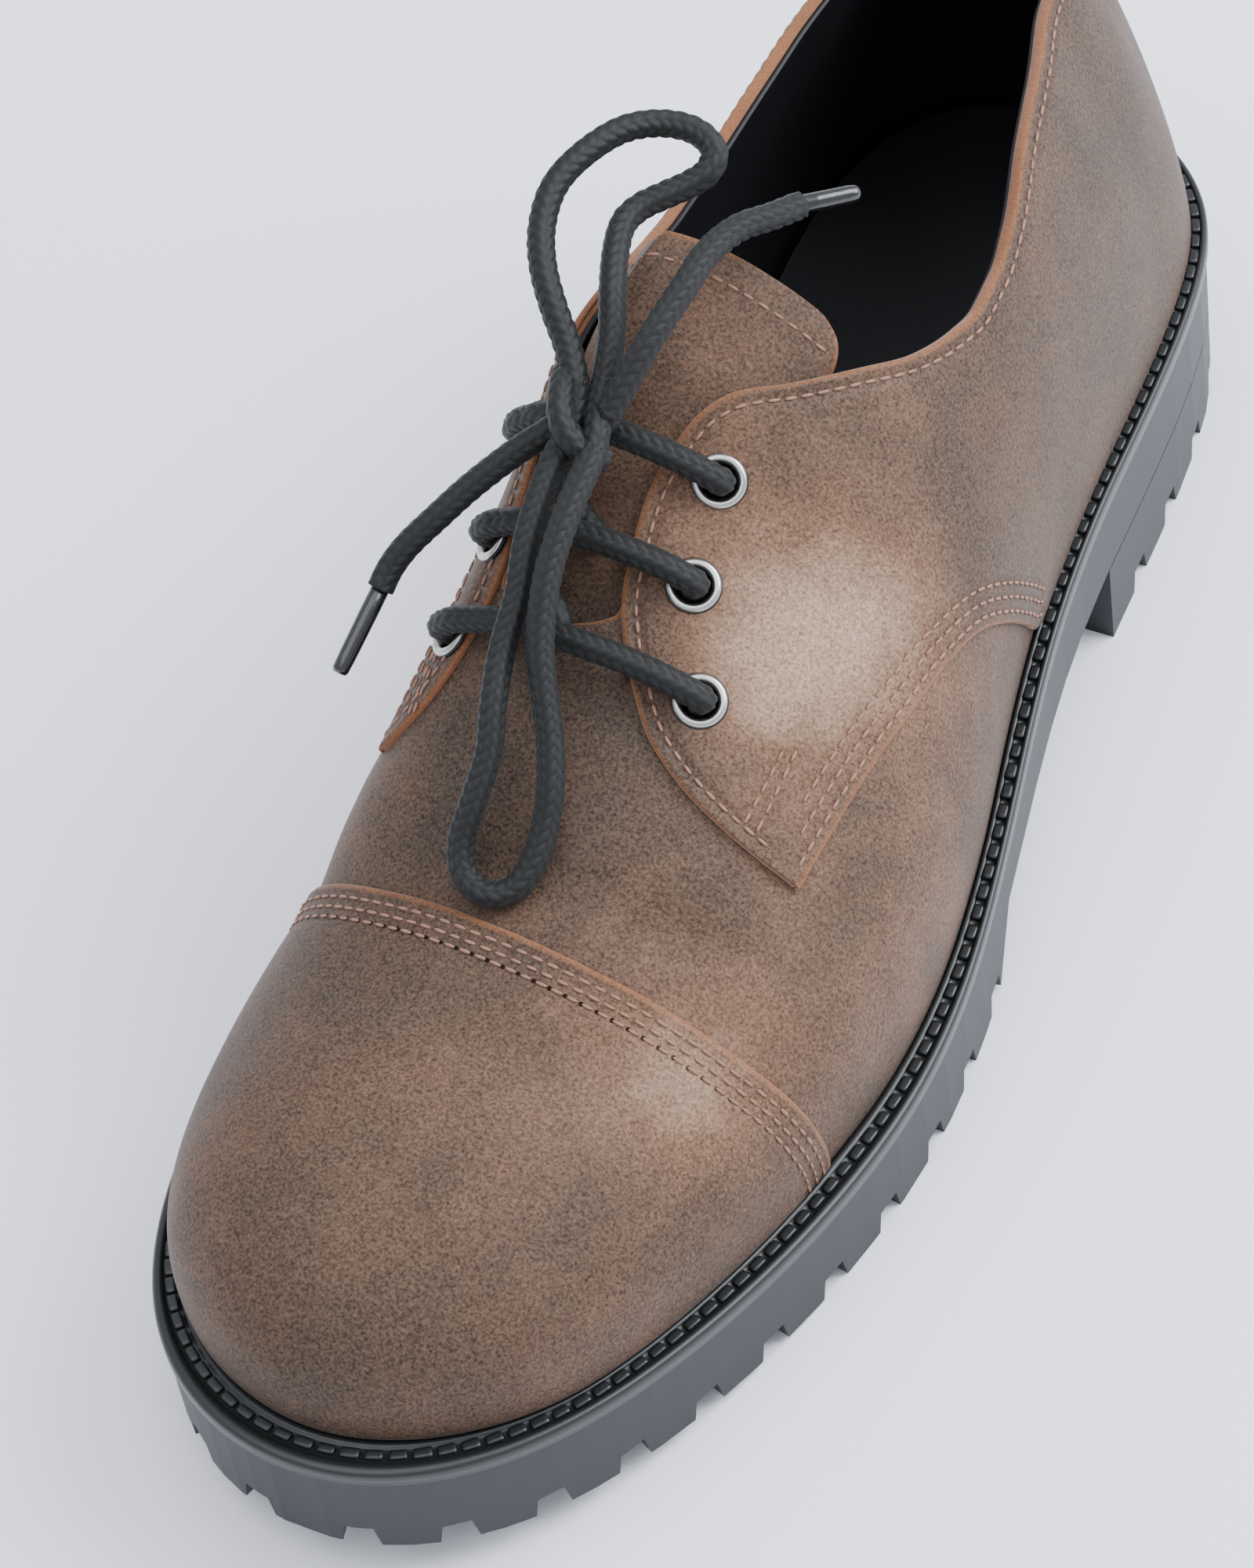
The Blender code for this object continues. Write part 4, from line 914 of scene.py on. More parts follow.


# Tone of the hide with painted highlights and painted shade: centre (mm), radius (mm), lighter or darker
TONE_AND_PAINTED_LIGHT: Table = (
    (26.0, -4.0, 78.0, 20.0, 1.0),
    (18.0, -22.0, 78.0, 16.0, 0.9),
    (40.0, 4.0, 60.0, 18.0, 0.25),
    (30.0, 20.0, 78.0, 16.0, -0.35),
    (46.0, -20.0, 44.0, 14.0, 0.25),
    (0.0, -10.0, 104.0, 14.0, 0.5),
    (-4.0, 18.0, 112.0, 14.0, 0.1),
    (-8.0, -38.0, 74.0, 17.0, -1.3),
    (-18.0, -52.0, 66.0, 14.0, -0.5),
    (14.0, -52.0, 66.0, 14.0, 0.15),
    (34.0, -48.0, 48.0, 15.0, 0.35),
    (30.0, -80.0, 50.0, 15.0, 0.95),
    (6.0, -86.0, 60.0, 15.0, 0.1),
    (-14.0, -104.0, 56.0, 16.0, 0.0),
    (8.0, -112.0, 55.0, 14.0, 0.15),
    (-24.0, -84.0, 54.0, 15.0, -0.55),
    (-36.0, -96.0, 40.0, 14.0, -0.6),
    (-10.0, -138.0, 40.0, 16.0, -0.6),
    (20.0, -128.0, 38.0, 14.0, 0.0),
    (30.0, 90.0, 70.0, 26.0, -0.6),
    (10.0, 135.0, 70.0, 30.0, -0.8),
    (-36.0, 60.0, 66.0, 26.0, 0.1),
    (-40.0, -20.0, 58.0, 20.0, 0.15),
)


def tone_and_painted_light_of(points: Array) -> Array:
    """Tone of the hide with painted highlights and painted shade at each point, from the listed patches.

    Args:
        points: Places on the hide, metres.

    Returns:
        The tone at each, 0 where no patch reaches.
    """
    total = np.zeros(points.shape[:-1])
    for x, y, z, radius, amount in TONE_AND_PAINTED_LIGHT:
        away = np.linalg.norm(points - np.array((x, y, z)) * 0.001, axis=-1) / (radius * 0.001)
        total += amount * np.exp(-(away**2))
    return total




# Repeats along a line
class Shape(Enum):
    """What is set out along a line."""

    THREAD = "thread"
    HOLE = "hole"
    BLOCK = "block"


def repeat_tree(name: str, shape: Shape, finish: bpy.types.Material) -> bpy.types.NodeTree:
    """Geometry Nodes that set a shape out along lines, with inputs for its sizes.

    Args:
        name: The tree's name.
        shape: What is repeated.
        finish: Its material.

    Returns:
        The tree.
    """
    tree = bpy.data.node_groups.new(name, "GeometryNodeTree")
    tree.interface.new_socket("Geometry", in_out="INPUT", socket_type="NodeSocketGeometry")
    for label in ("Pitch", "Lift", "Length", "Width", "Height"):
        tree.interface.new_socket(label, in_out="INPUT", socket_type="NodeSocketFloat")
    tree.interface.new_socket("Geometry", in_out="OUTPUT", socket_type="NodeSocketGeometry")
    given = add(tree, "NodeGroupInput")
    curve = add(tree, "GeometryNodeMeshToCurve", {"Mesh": given.outputs["Geometry"]})
    placed = add(tree, "GeometryNodeResampleCurve",
                 {"Curve": curve, "Length": given.outputs["Pitch"]}, mode="LENGTH")
    up = add(tree, "GeometryNodeInputNamedAttribute", {"Name": "up"}, data_type="FLOAT_VECTOR")
    raised = add(tree, "ShaderNodeVectorMath", {0: up, "Scale": given.outputs["Lift"]}, operation="SCALE")
    placed = add(tree, "GeometryNodeSetPosition", {"Geometry": placed, "Offset": raised})
    along = add(tree, "GeometryNodeInputTangent")
    turned = add(tree, "FunctionNodeAxesToRotation", {0: up, 1: along},
                 primary_axis="Z", secondary_axis="X")
    if shape is Shape.THREAD:
        item = add(tree, "GeometryNodeMeshUVSphere", {"Segments": 8, "Rings": 6, "Radius": 0.5})
    elif shape is Shape.HOLE:
        # A flat disc, which carries the painted shade of a needle hole
        item = add(tree, "GeometryNodeMeshCircle", {"Vertices": 10, "Radius": 0.5}, fill_type="NGON")
    else:
        cube = add(tree, "GeometryNodeMeshCube", {"Size": (1.0, 1.0, 1.0)})
        item = add(tree, "GeometryNodeSubdivisionSurface",
                   {"Mesh": cube, "Level": 2, "Edge Crease": 0.55})
    size = add(tree, "ShaderNodeCombineXYZ", {0: given.outputs["Length"], 1: given.outputs["Width"],
                                              2: given.outputs["Height"]})
    vary = add(tree, "FunctionNodeRandomValue", {2: 0.93, 3: 1.07, "Seed": 7}, data_type="FLOAT")
    size = add(tree, "ShaderNodeVectorMath", {0: size, "Scale": vary.outputs[1]}, operation="SCALE")
    copies = add(tree, "GeometryNodeInstanceOnPoints",
                 {"Points": placed, "Instance": item, "Rotation": turned, "Scale": size})
    real = add(tree, "GeometryNodeRealizeInstances", {0: copies})
    soft = add(tree, "GeometryNodeSetShadeSmooth", {0: real})
    done = add(tree, "GeometryNodeSetMaterial", {"Geometry": soft, "Material": finish})
    add(tree, "NodeGroupOutput", {0: done})
    return tree


def repeat_along(name: str, lines: Sequence[Array], ups: Sequence[Array], shape: Shape,
                 finish: bpy.types.Material, size_mm: tuple[float, float, float],
                 pitch_mm: float, lift_mm: float = 0.0) -> bpy.types.Object:
    """Sets a small shape out along lines, as one plain mesh.

    Args:
        name: The piece's name.
        lines: Points of each line.
        ups: Upward direction at each of those points.
        shape: What is repeated.
        finish: Its material.
        size_mm: Its length along the line, width and height.
        pitch_mm: Distance from one to the next.
        lift_mm: How far it stands above the line.

    Returns:
        The piece.
    """
    starts = np.cumsum([0] + [len(line) for line in lines])
    edges = [(s + i, s + i + 1) for s, line in zip(starts, lines) for i in range(len(line) - 1)]
    mesh = bpy.data.meshes.new(name)
    mesh.from_pydata(np.concatenate(lines).tolist(), [tuple(map(int, e)) for e in edges], [])
    data = mesh.attributes.new("up", "FLOAT_VECTOR", "POINT").data
    data.foreach_set("vector", np.ravel(np.concatenate(ups)))
    thing = bpy.data.objects.new(name, mesh)
    bpy.context.scene.collection.objects.link(thing)
    tree = repeat_tree(name + " tree", shape, finish)
    modifier = thing.modifiers.new("repeat", "NODES")
    modifier.node_group = tree
    values = dict(zip(("Pitch", "Lift", "Length", "Width", "Height"), (pitch_mm, lift_mm) + size_mm))
    for item in tree.interface.items_tree:
        if item.in_out == "INPUT" and item.name in values:
            modifier[item.identifier] = values[item.name] * 0.001
    graph = bpy.context.evaluated_depsgraph_get()
    plain = bpy.data.meshes.new_from_object(thing.evaluated_get(graph))
    thing.modifiers.clear()
    thing.data = plain
    return thing


def turned(name: str, profile: Table, centre: Array, axis: Array, finishes: Sequence,
           sides: int = 64, second: int = 0) -> bpy.types.Object:
    """Closed profile of radius and height (mm) turned about an axis.

    Args:
        name: The piece's name.
        profile: Radius and height of each corner.
        centre: Where the axis starts.
        axis: Its direction.
        finishes: One finish, or two where the last faces of the profile get another.
        sides: Copies round the axis.
        second: First corner whose face gets the second finish, 0 for none.

    Returns:
        The piece.
    """
    spin = Vector(axis).to_track_quat("Z", "Y").to_matrix()
    frame_x, frame_y, frame_z = (np.array(spin @ Vector(v)) for v in ((1, 0, 0), (0, 1, 0), (0, 0, 1)))
    rows = np.asarray(profile, float) * 0.001
    angle = np.linspace(0, 2 * math.pi, sides, endpoint=False)[:, None, None]
    grid = centre + rows[None, :, :1] * (np.cos(angle) * frame_x + np.sin(angle) * frame_y)
    grid = grid + rows[None, :, 1:] * frame_z
    count = len(rows)
    faces, slots = [], []
    for k in range(sides):
        m = (k + 1) % sides
        for j in range(count):
            n = (j + 1) % count
            faces.append((k * count + j, m * count + j, m * count + n, k * count + n))
            slots.append(1 if second and second <= j < count - 1 else 0)
    return mesh_piece(name, grid.reshape(-1, 3), faces, finishes, np.array(slots), 1e-6)


# Leather
@dataclass
class Upper:
    """Quarters, vamp, toe cap, lining and tongue, with their stitches."""

    last: Last
    finishes: Finishes
    wall_mm: float = 1.9
    overlay_mm: float = 1.4
    vamp_mm: float = 0.9
    skirt_mm: float = 3.3
    overlap: float = 0.008
    pitch_mm: float = 2.7
    tube_mm: float = 6.4
    clearance_mm: float = 0.3
    roll_mm: float = 0.45
    roll_width_mm: float = 0.5
    furrow_mm: float = 0.14
    furrow_width_mm: float = 0.9
    lining_gap_mm: float = 0.05
    tongue_mm: float = 1.6
    tongue_gap_mm: float = 0.7
    tongue_row_mm: float = 5.0
    corner_mm: float = 6.0
    girth_length: float = 0.11
    edge_row_mm: float = 2.3
    seam_rows_mm: tuple[float, ...] = (2.0, 4.3, 6.6)
    cap_rows_mm: tuple[float, ...] = (2.3, 4.2, 6.1)
    bars: Table = ((0.593, 0.586, 0.633, 0.606), (0.597, 0.606, 0.633, 0.628))
    throat_row: float = 0.5935
    thread_mm: tuple[float, float, float] = (2.15, 0.62, 0.50)
    hole_shade_mm: tuple[float, float, float] = (0.80, 0.70, 1.0)
    lines: dict[str, tuple[Array, Array]] = field(default_factory=dict)

    def collar(self, share: Array, side: Array) -> Array:
        """Girth of the upper edge at a station.

        Args:
            share: Share of the feather's length.
            side: LATERAL or MEDIAL.

        Returns:
            The girth.
        """
        along = self.last.share(self.last.foot(share, side)[1])
        level = np.where(side > 0, smooth(COLLAR, 1, along), smooth(COLLAR, 2, along))
        back = 0.5 * (smooth(COLLAR, 1, 0.0) + smooth(COLLAR, 2, 0.0))
        fade = np.clip(along / 0.03, 0, 1)
        return level * fade + back * (1 - fade)

    def front(self, along: Array, side: Array) -> Array:
        """Girth of the quarters' upper edge, over the topline and down the facing.

        Args:
            along: Share of the sole's length.
            side: LATERAL or MEDIAL.

        Returns:
            The girth.
        """
        share = self.last.at_feather(along)
        facing = np.where(side > 0, smooth(FACING, 1, along), smooth(FACING, 2, along))
        t = np.clip((along - 0.548) / 0.024, 0, 1)
        t = t * t * (3 - 2 * t)
        return (self.collar(share, side) + self.overlap) * (1 - t) + facing * t

    def seam(self, along: Array, side: Array) -> Array:
        """Girth of the quarters' lower edge."""
        return np.where(side > 0, smooth(SEAM, 1, along), smooth(SEAM, 2, along))

    def offset(self, share: Array, side: Array, girth: Array, move_mm: float) -> tuple[Array, Array]:
        """Line moved sideways over the last, to the right of its way for a positive move.

        Args:
            share: Stations of the line.
            side: LATERAL or MEDIAL.
            girth: Its girth.
            move_mm: How far it moves.

        Returns:
            Share and girth of the new line.
        """
        points = self.last.bare(share, side, girth)
        way = unit(np.gradient(points, axis=0))
        out = self.last.normal(share, side, girth)
        return self.last.walk(share, side, girth, np.cross(way, out) * move_mm * 0.001)

    def row(self, name: str, share: Array, side: Array, girth: Array, lift_mm: float) -> None:
        """Keeps a stitch line under a name, as points and outward directions."""
        points = self.last.skin(share, side, girth, lift_mm * 0.001)
        self.lines[name] = (points, self.last.normal(share, side, girth))

    def draw_rows(self) -> None:
        """Works out where every row of stitches runs."""
        for side, word in ((LATERAL, "lateral"), (MEDIAL, "medial")):
            along = np.concatenate([np.linspace(0.016, 0.60, 300), 0.60 + 0.0465 * np.sin(
                np.linspace(0.02, 1, 60) * math.pi / 2)])
            way = np.full_like(along, side)
            share, girth = self.last.at_feather(along), self.front(along, way)
            new = self.offset(share, way, girth, -self.edge_row_mm * side)
            self.row(f"{word}_edge", new[0], way, new[1], self.overlay_mm)
            along = np.linspace(0.385, 0.640, 160)
            way = np.full_like(along, side)
            share, girth = self.last.at_feather(along), self.seam(along, way)
            for n, inset in enumerate(self.seam_rows_mm):
                new = self.offset(share, way, girth, inset * side)
                keep = slice(2, len(along) - 3 - 9 * n)
                self.row(f"{word}_seam_{n}", new[0][keep], way[keep], new[1][keep], self.overlay_mm)
            for n, (first, low, final, high) in enumerate(self.bars):
                along = np.linspace(first, final, 24)
                girth = np.linspace(low, high, 24)
                self.row(f"{word}_bar_{n}", self.last.at_feather(along), np.full(24, side), girth,
                         self.overlay_mm)
        girth = np.concatenate([np.linspace(0.86, 1, 30), np.linspace(1, 0.78, 40)[1:]])
        way = np.concatenate([np.full(30, LATERAL), np.full(39, MEDIAL)])
        self.row("throat", np.full(69, float(self.last.at_feather(self.throat_row))), way, girth, 0.0)
        half = np.concatenate([np.linspace(0.02, 1, 80), np.linspace(1, 0.02, 80)[1:]])
        way = np.concatenate([np.full(80, LATERAL), np.full(79, MEDIAL)])
        edge = np.where(way > 0, smooth(CAP_EDGE, 1, half), smooth(CAP_EDGE, 2, half))
        for n, inset in enumerate(self.cap_rows_mm):
            share = self.last.at_feather(edge + inset * 0.001 / self.last.length)
            self.row(f"cap_{n}", share, way, half, self.overlay_mm)

    def roll(self, outer_share: Array, side: Array, girth: Array, lift: Array) -> tuple[Array, Array]:
        """Lift of an overlay with its cut edges rolled down, and the distance to those edges.

        Args:
            outer_share: Stations of the grid.
            side: LATERAL or MEDIAL.
            girth: Girth of the grid.
            lift: Lift without the roll.

        Returns:
            The new lift, and the distance to the upper edge in millimetres.
        """
        points = self.last.bare(outer_share, side, girth)
        step = np.linalg.norm(np.diff(points, axis=1), axis=-1)
        run = np.concatenate([np.zeros((len(points), 1)), np.cumsum(step, 1)], 1) * 1000
        away = run[:, -1:] - run
        return lift - self.roll_mm * 0.001 * np.exp(-away / self.roll_width_mm), away

    def leather(self, name: str, share: Array, side: Array, girth: Array, lift: Array, low: Array,
                edge_mm: Array, rows: Sequence[str], skirt: float | Array | None = None,
                open_ridge: Array | None = None) -> bpy.types.Object:
        """A piece of nubuck between two lifts, pulled down along its stitches and creased.

        Args:
            name: The piece's name.
            share: Stations of its grid.
            side: LATERAL or MEDIAL.
            girth: Girth of its grid.
            lift: Lift of the outside.
            low: Lift of the inside.
            edge_mm: Distance to its cut edges.
            rows: Names of its stitch lines.
            skirt: Share of the skirt's depth, None for no skirt.
            open_ridge: Stations without an edge at the ridge.

        Returns:
            The piece.
        """
        bare = self.last.bare(share, side, girth)
        stitch = np.full(share.shape, 9.0)
        if rows:
            stitch = distance_mm(bare, [self.lines[r][0] for r in rows]) - self.overlay_mm * 0.8
        stitch = np.maximum(stitch, 0.0)
        furrow = self.furrow_mm * 0.001 * np.exp(-((stitch / self.furrow_width_mm) ** 2))
        lift = lift - furrow + creases(bare)
        normal = self.last.normal(share, side, girth)
        outer = bare + normal * lift[..., None]
        inner = bare + normal * np.minimum(low, lift - 0.0003)[..., None]
        if skirt is not None:
            outer, inner = (self.with_skirt(grid, skirt) for grid in (outer, inner))
            stitch, edge_mm = (np.concatenate([v[:, :1], v], 1) for v in (stitch, edge_mm))
        # The tone attribute carries the hide's tone with painted highlights and painted shade
        tone = tone_and_painted_light_of(outer)
        return wall(name, outer, inner, [self.finishes.nubuck, self.finishes.cut], tone=tone,
                    edge_mm=edge_mm, stitch_mm=stitch, open_ridge=open_ridge)

    def with_skirt(self, grid: Array, share: float | Array = 1.0) -> Array:
        """The grid with one more row below its first, by a share of the skirt's depth.

        Args:
            grid: Stations by rows of points.
            share: Share of the skirt's depth, one or one a station.

        Returns:
            The longer grid.
        """
        drop = np.broadcast_to(np.asarray(share, float), (len(grid),))[:, None, None]
        low = grid[:, :1] - drop * np.array((0.0, 0.0, self.skirt_mm * 0.001))
        return np.concatenate([low, grid], 1)

    def quarter(self, word: str, side: float) -> bpy.types.Object:
        """One quarter, from the heel seam to the tip under the facing.

        Args:
            word: The name of its side.
            side: LATERAL or MEDIAL.

        Returns:
            The piece.
        """
        heel = float(self.last.share(self.last.feather[1][0]))
        along = np.concatenate([
            np.linspace(heel, 0.36, 110), np.linspace(0.36, 0.60, 130)[1:],
            0.60 + 0.048 * np.sin(np.linspace(0, 1, 34)[1:] * math.pi / 2)])
        way = np.full_like(along, side)
        top, bottom = self.front(along, way), self.seam(along, way)
        u = np.concatenate([[0, 0.004], np.linspace(0.012, 0.985, 84), [0.991, 0.996, 1.0]])
        girth = bottom[:, None] + (top - bottom)[:, None] * u
        share = np.repeat(self.last.at_feather(along)[:, None], len(u), 1)
        way = np.repeat(way[:, None], len(u), 1)
        lift, edge = self.roll(share, way, girth, np.full(share.shape, self.overlay_mm * 0.001))
        t = np.clip((along - 0.34) / 0.06, 0, 1)[:, None]
        points = self.last.bare(share, way, girth)
        up = np.linalg.norm(points - points[:, :1], axis=-1) * 1000
        lift = lift - self.roll_mm * 0.001 * np.exp(-up / self.roll_width_mm) * t
        edge = np.minimum(edge, up + 9.0 * (1 - t))
        low = (self.lining_gap_mm * t - self.vamp_mm * (1 - t)) * 0.001 * np.ones_like(lift)
        rows = [name for name in self.lines if name.startswith(word)]
        return self.leather(f"quarter_{word}", share, way, girth, lift, low, edge, rows,
                            skirt=(1 - t)[:, 0])

    def round_front(self, start: float, dense: int) -> tuple[Array, Array]:
        """Stations from the lateral side round the toe to the medial side.

        Args:
            start: First share of the sole's length.
            dense: Stations on a side, about.

        Returns:
            Share and side of each station.
        """
        first = np.linspace(start, 0.56, dense // 3)
        throat = np.linspace(0.56, 0.59, dense // 6)[1:]
        rest = spread(0.59, 1.0, dense)[1:]
        one = np.clip(np.concatenate([self.last.at_feather(np.concatenate([first, throat])),
                                      self.last.at_feather(rest[:-1]), [1.0]]), 0, 1)
        one = np.unique(one)
        share = np.concatenate([one, one[-2::-1]])
        side = np.concatenate([np.full(len(one), LATERAL), np.full(len(one) - 1, MEDIAL)])
        return share, side

    def vamp(self) -> bpy.types.Object:
        """The vamp, under the quarters and the toe cap.

        Returns:
            The piece.
        """
        share, side = self.round_front(0.36, 150)
        top = self.collar(share, side)
        u = np.linspace(0, 1, 96) ** 0.95
        girth = top[:, None] * u
        girth[girth > 0.99999] = 1.0
        share2, side2 = (np.repeat(v[:, None], len(u), 1) for v in (share, side))
        ridge = top >= 0.99999
        edge = np.where(ridge[:, None], 9.0, (1 - u) * 90.0)
        lift = np.zeros(share2.shape)
        return self.leather("vamp", share2, side2, girth, lift, lift - self.vamp_mm * 0.001, edge,
                            ["throat"], open_ridge=ridge, skirt=1.0)

    def toe_cap(self) -> bpy.types.Object:
        """The cap over the toe, with its raw rear edge.

        Returns:
            The piece.
        """
        count = 80
        u = np.concatenate([[0.006], np.linspace(0, 1, 71)[1:]])
        grids = []
        turn = np.concatenate([[0, 0.004, 0.010], np.linspace(0.02, 1, count)])
        for column, side in ((1, LATERAL), (2, MEDIAL)):
            start = side_angle(self.last.at_feather(smooth(CAP_EDGE, column, u)))
            angle = start + (math.pi - start) * turn[:, None]
            grids.append((1 - np.cos(angle)) / 2)
        share = np.concatenate([grids[0], grids[1][-2::-1]])
        side = np.repeat(np.concatenate([np.full(len(turn), LATERAL),
                                         np.full(len(turn) - 1, MEDIAL)])[:, None], len(u), 1)
        girth = np.repeat(u[None, :], len(share), 0)
        points = self.last.bare(share, side, girth)
        first = np.linalg.norm(points - points[:1], axis=-1) * 1000
        final = np.linalg.norm(points - points[-1:], axis=-1) * 1000
        edge = np.minimum(first, final)
        lift = (self.overlay_mm - self.roll_mm * np.exp(-edge / self.roll_width_mm)) * 0.001
        rows = [f"cap_{n}" for n in range(3)]
        return self.leather("toe_cap", share, side, girth, lift, np.full(share.shape, 0.00005), edge,
                            rows, open_ridge=np.ones(len(share), bool))

    def lining(self) -> bpy.types.Object:
        """The black lining, all round inside.

        Returns:
            The piece.
        """
        share, side = self.round_front(0.36, 90)
        heel = self.last.at_feather(np.linspace(float(self.last.share(self.last.feather[1][0])), 0.36, 60))
        share = np.concatenate([heel[:-1], share, heel[-2:0:-1]])
        side = np.concatenate([np.full(59, LATERAL), side, np.full(58, MEDIAL)])
        top = np.minimum(self.collar(share, side) + 0.004, 1.0)
        u = np.linspace(0, 1, 44)
        girth = top[:, None] * u
        girth[girth > 0.99999] = 1.0
        share2, side2 = (np.repeat(v[:, None], len(u), 1) for v in (share, side))
        under = (self.vamp_mm + self.lining_gap_mm) * 0.001
        outer = self.with_skirt(self.last.skin(share2, side2, girth, -under))
        inner = self.with_skirt(self.last.skin(share2, side2, girth, -self.wall_mm * 0.001))
        return wall("lining", outer, inner, [self.finishes.lining, self.finishes.lining], ring=True,
                    open_ridge=top >= 0.99999)

    def tongue(self) -> bpy.types.Object:
        """The tongue, with its raw edge and rounded top corners.

        Returns:
            The piece.
        """
        along = np.concatenate([[0.399, 0.3995], np.linspace(0.4005, 0.602, 100)])
        places, lateral, medial = np.transpose(TONGUE)
        radius = self.corner_mm * 0.001
        down = np.clip(radius - (along - places[0]) * self.last.length, 0, radius)
        corner = (radius - np.sqrt(radius**2 - down**2)) / self.girth_length
        half = 45
        share, side, girth = [], [], []
        for a, left, right in zip(along, np.interp(along, places, lateral) + corner,
                                  np.interp(along, places, medial) + corner):
            share.append(np.full(2 * half + 1, float(self.last.at_feather(a))))
            side.append(np.concatenate([np.full(half + 1, LATERAL), np.full(half, MEDIAL)]))
            down = np.linspace(1, right, half + 1)[1:]
            girth.append(np.concatenate([np.linspace(left, 1, half + 1), down]))
        share, side, girth = np.array(share), np.array(side), np.array(girth)
        dip = 0.001 * np.clip((along - 0.548) / 0.024, 0, 1)[:, None]
        under = -(self.wall_mm + self.tongue_gap_mm)
        lift = under * 0.001 - dip * np.ones_like(share)
        points = self.last.bare(share, side, girth)
        edge = np.minimum.reduce([np.linalg.norm(points - p, axis=-1) for p in
                                  (points[:1], points[:, :1], points[:, -1:])]) * 1000
        lift = lift - 0.0003 * np.exp(-edge / self.roll_width_mm)
        below = places[0] + self.tongue_row_mm * 0.001 / self.last.length
        row = int(np.argmin(np.abs(along - below)))
        self.row("tongue", share[row, 4:-4], side[row, 4:-4], girth[row, 4:-4], under)
        low = lift - self.tongue_mm * 0.001
        return self.leather("tongue_leather", share, side, girth, lift, low, edge, [])

    def eyelets(self) -> list[tuple[str, Array, Array]]:
        """Name, centre and axis of each eyelet.

        Returns:
            Name, centre and axis of each.
        """
        frames = []
        for n, row in enumerate(EYELETS, 1):
            for side, girth, word in ((LATERAL, row[1], "lateral"), (MEDIAL, row[2], "medial")):
                s = self.last.at_feather(row[0])
                low, high = (self.last.skin(s, np.float64(side), np.float64(girth), lift)
                             for lift in (self.overlay_mm * 0.001, self.overlay_mm * 0.001 + 0.01))
                frames.append((f"eyelet_{word}_{n}", low, unit(high - low)))
        return frames

    def punch(self, pieces: Sequence[bpy.types.Object]) -> None:
        """Cuts the eyelet holes.

        Args:
            pieces: The pieces that get the holes.
        """
        radius = self.tube_mm / 2 + self.clearance_mm
        profile = ((0.0, -7.0), (radius, -7.0), (radius, 6.0), (0.0, 6.0))
        cutters = [turned(f"punch_{name}", profile, centre, axis, [self.finishes.lining], 24)
                   for name, centre, axis in self.eyelets()]
        for piece in pieces:
            for cutter in cutters:
                cut = piece.modifiers.new("hole", "BOOLEAN")
                cut.solver = "EXACT"
                cut.object = cutter
            bake(piece)
        for cutter in cutters:
            bpy.data.objects.remove(cutter, do_unlink=True)

    def build(self) -> None:
        """Makes every piece of leather and its stitches."""
        self.draw_rows()
        pieces = [self.quarter("lateral", LATERAL), self.quarter("medial", MEDIAL), self.vamp(),
                  self.lining(), self.toe_cap()]
        self.punch(pieces[:4])
        tongue = self.tongue()
        stitches = self.stitches()
        for piece in pieces + stitches:
            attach(piece, "root")
        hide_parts("upper")
        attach(tongue, "root")
        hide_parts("tongue")

    def stitches(self) -> list[bpy.types.Object]:
        """Threads and the painted shade of their needle holes, piece by piece.

        Returns:
            The pieces of thread and of painted hole shade.
        """
        made = []
        for word in ("lateral", "medial", "cap", "tongue", "throat"):
            lines, ups, pits, pit_ups = [], [], [], []
            for name, (points, out) in self.lines.items():
                if not name.startswith(word):
                    continue
                tight = even(np.concatenate([points, out], 1), 0.0004)
                lines.append(tight[:, :3])
                ups.append(unit(tight[:, 3:]))
                half = int(self.pitch_mm / 0.4 / 2)
                pits.append(tight[half:, :3])
                pit_ups.append(unit(tight[half:, 3:]))
            made.append(repeat_along(f"stitch_{word}", lines, ups, Shape.THREAD, self.finishes.thread,
                                     self.thread_mm, self.pitch_mm, 0.0))
            # Each needle hole is a flat dark disc: painted shade
            made.append(repeat_along(f"needle_{word}", pits, pit_ups, Shape.HOLE, self.finishes.hole,
                                     self.hole_shade_mm, self.pitch_mm, 0.05))
        return made


def bake(piece: bpy.types.Object) -> None:
    """Turns a piece with modifiers into a plain mesh.

    Args:
        piece: The piece, whose modifiers are removed.
    """
    graph = bpy.context.evaluated_depsgraph_get()
    mesh = bpy.data.meshes.new_from_object(piece.evaluated_get(graph))
    piece.modifiers.clear()
    piece.data = mesh


# Walking creases: points along each (mm), depth (mm, ridges negative), half width (mm)
CREASES: Sequence[tuple[Table, float, float]] = (
    (((-34.0, -50.0, 50.0), (-18.0, -60.0, 63.0), (0.0, -62.0, 67.0), (20.0, -58.0, 62.0)), 0.5, 4.0),
    (((-38.0, -40.0, 50.0), (-26.0, -47.0, 62.0), (-12.0, -50.0, 70.0)), 0.45, 3.5),
    (((38.0, -52.0, 44.0), (28.0, -58.0, 55.0), (14.0, -64.0, 63.0)), 0.4, 3.5),
)


def creases(points: Array) -> Array:
    """Depth in metres that the walking creases push the hide in.

    Args:
        points: Places on the hide, metres.

    Returns:
        The lift at each, negative in a trough.
    """
    total = np.zeros(points.shape[:-1])
    for line, depth, width in CREASES:
        away = distance_mm(points, [through(np.array(line) * 0.001, 0.001)])
        total -= depth * 0.001 * np.exp(-((away / width) ** 2))
        total += depth * 0.0005 * np.exp(-(((away - 2.0 * width) / width) ** 2))
    return total


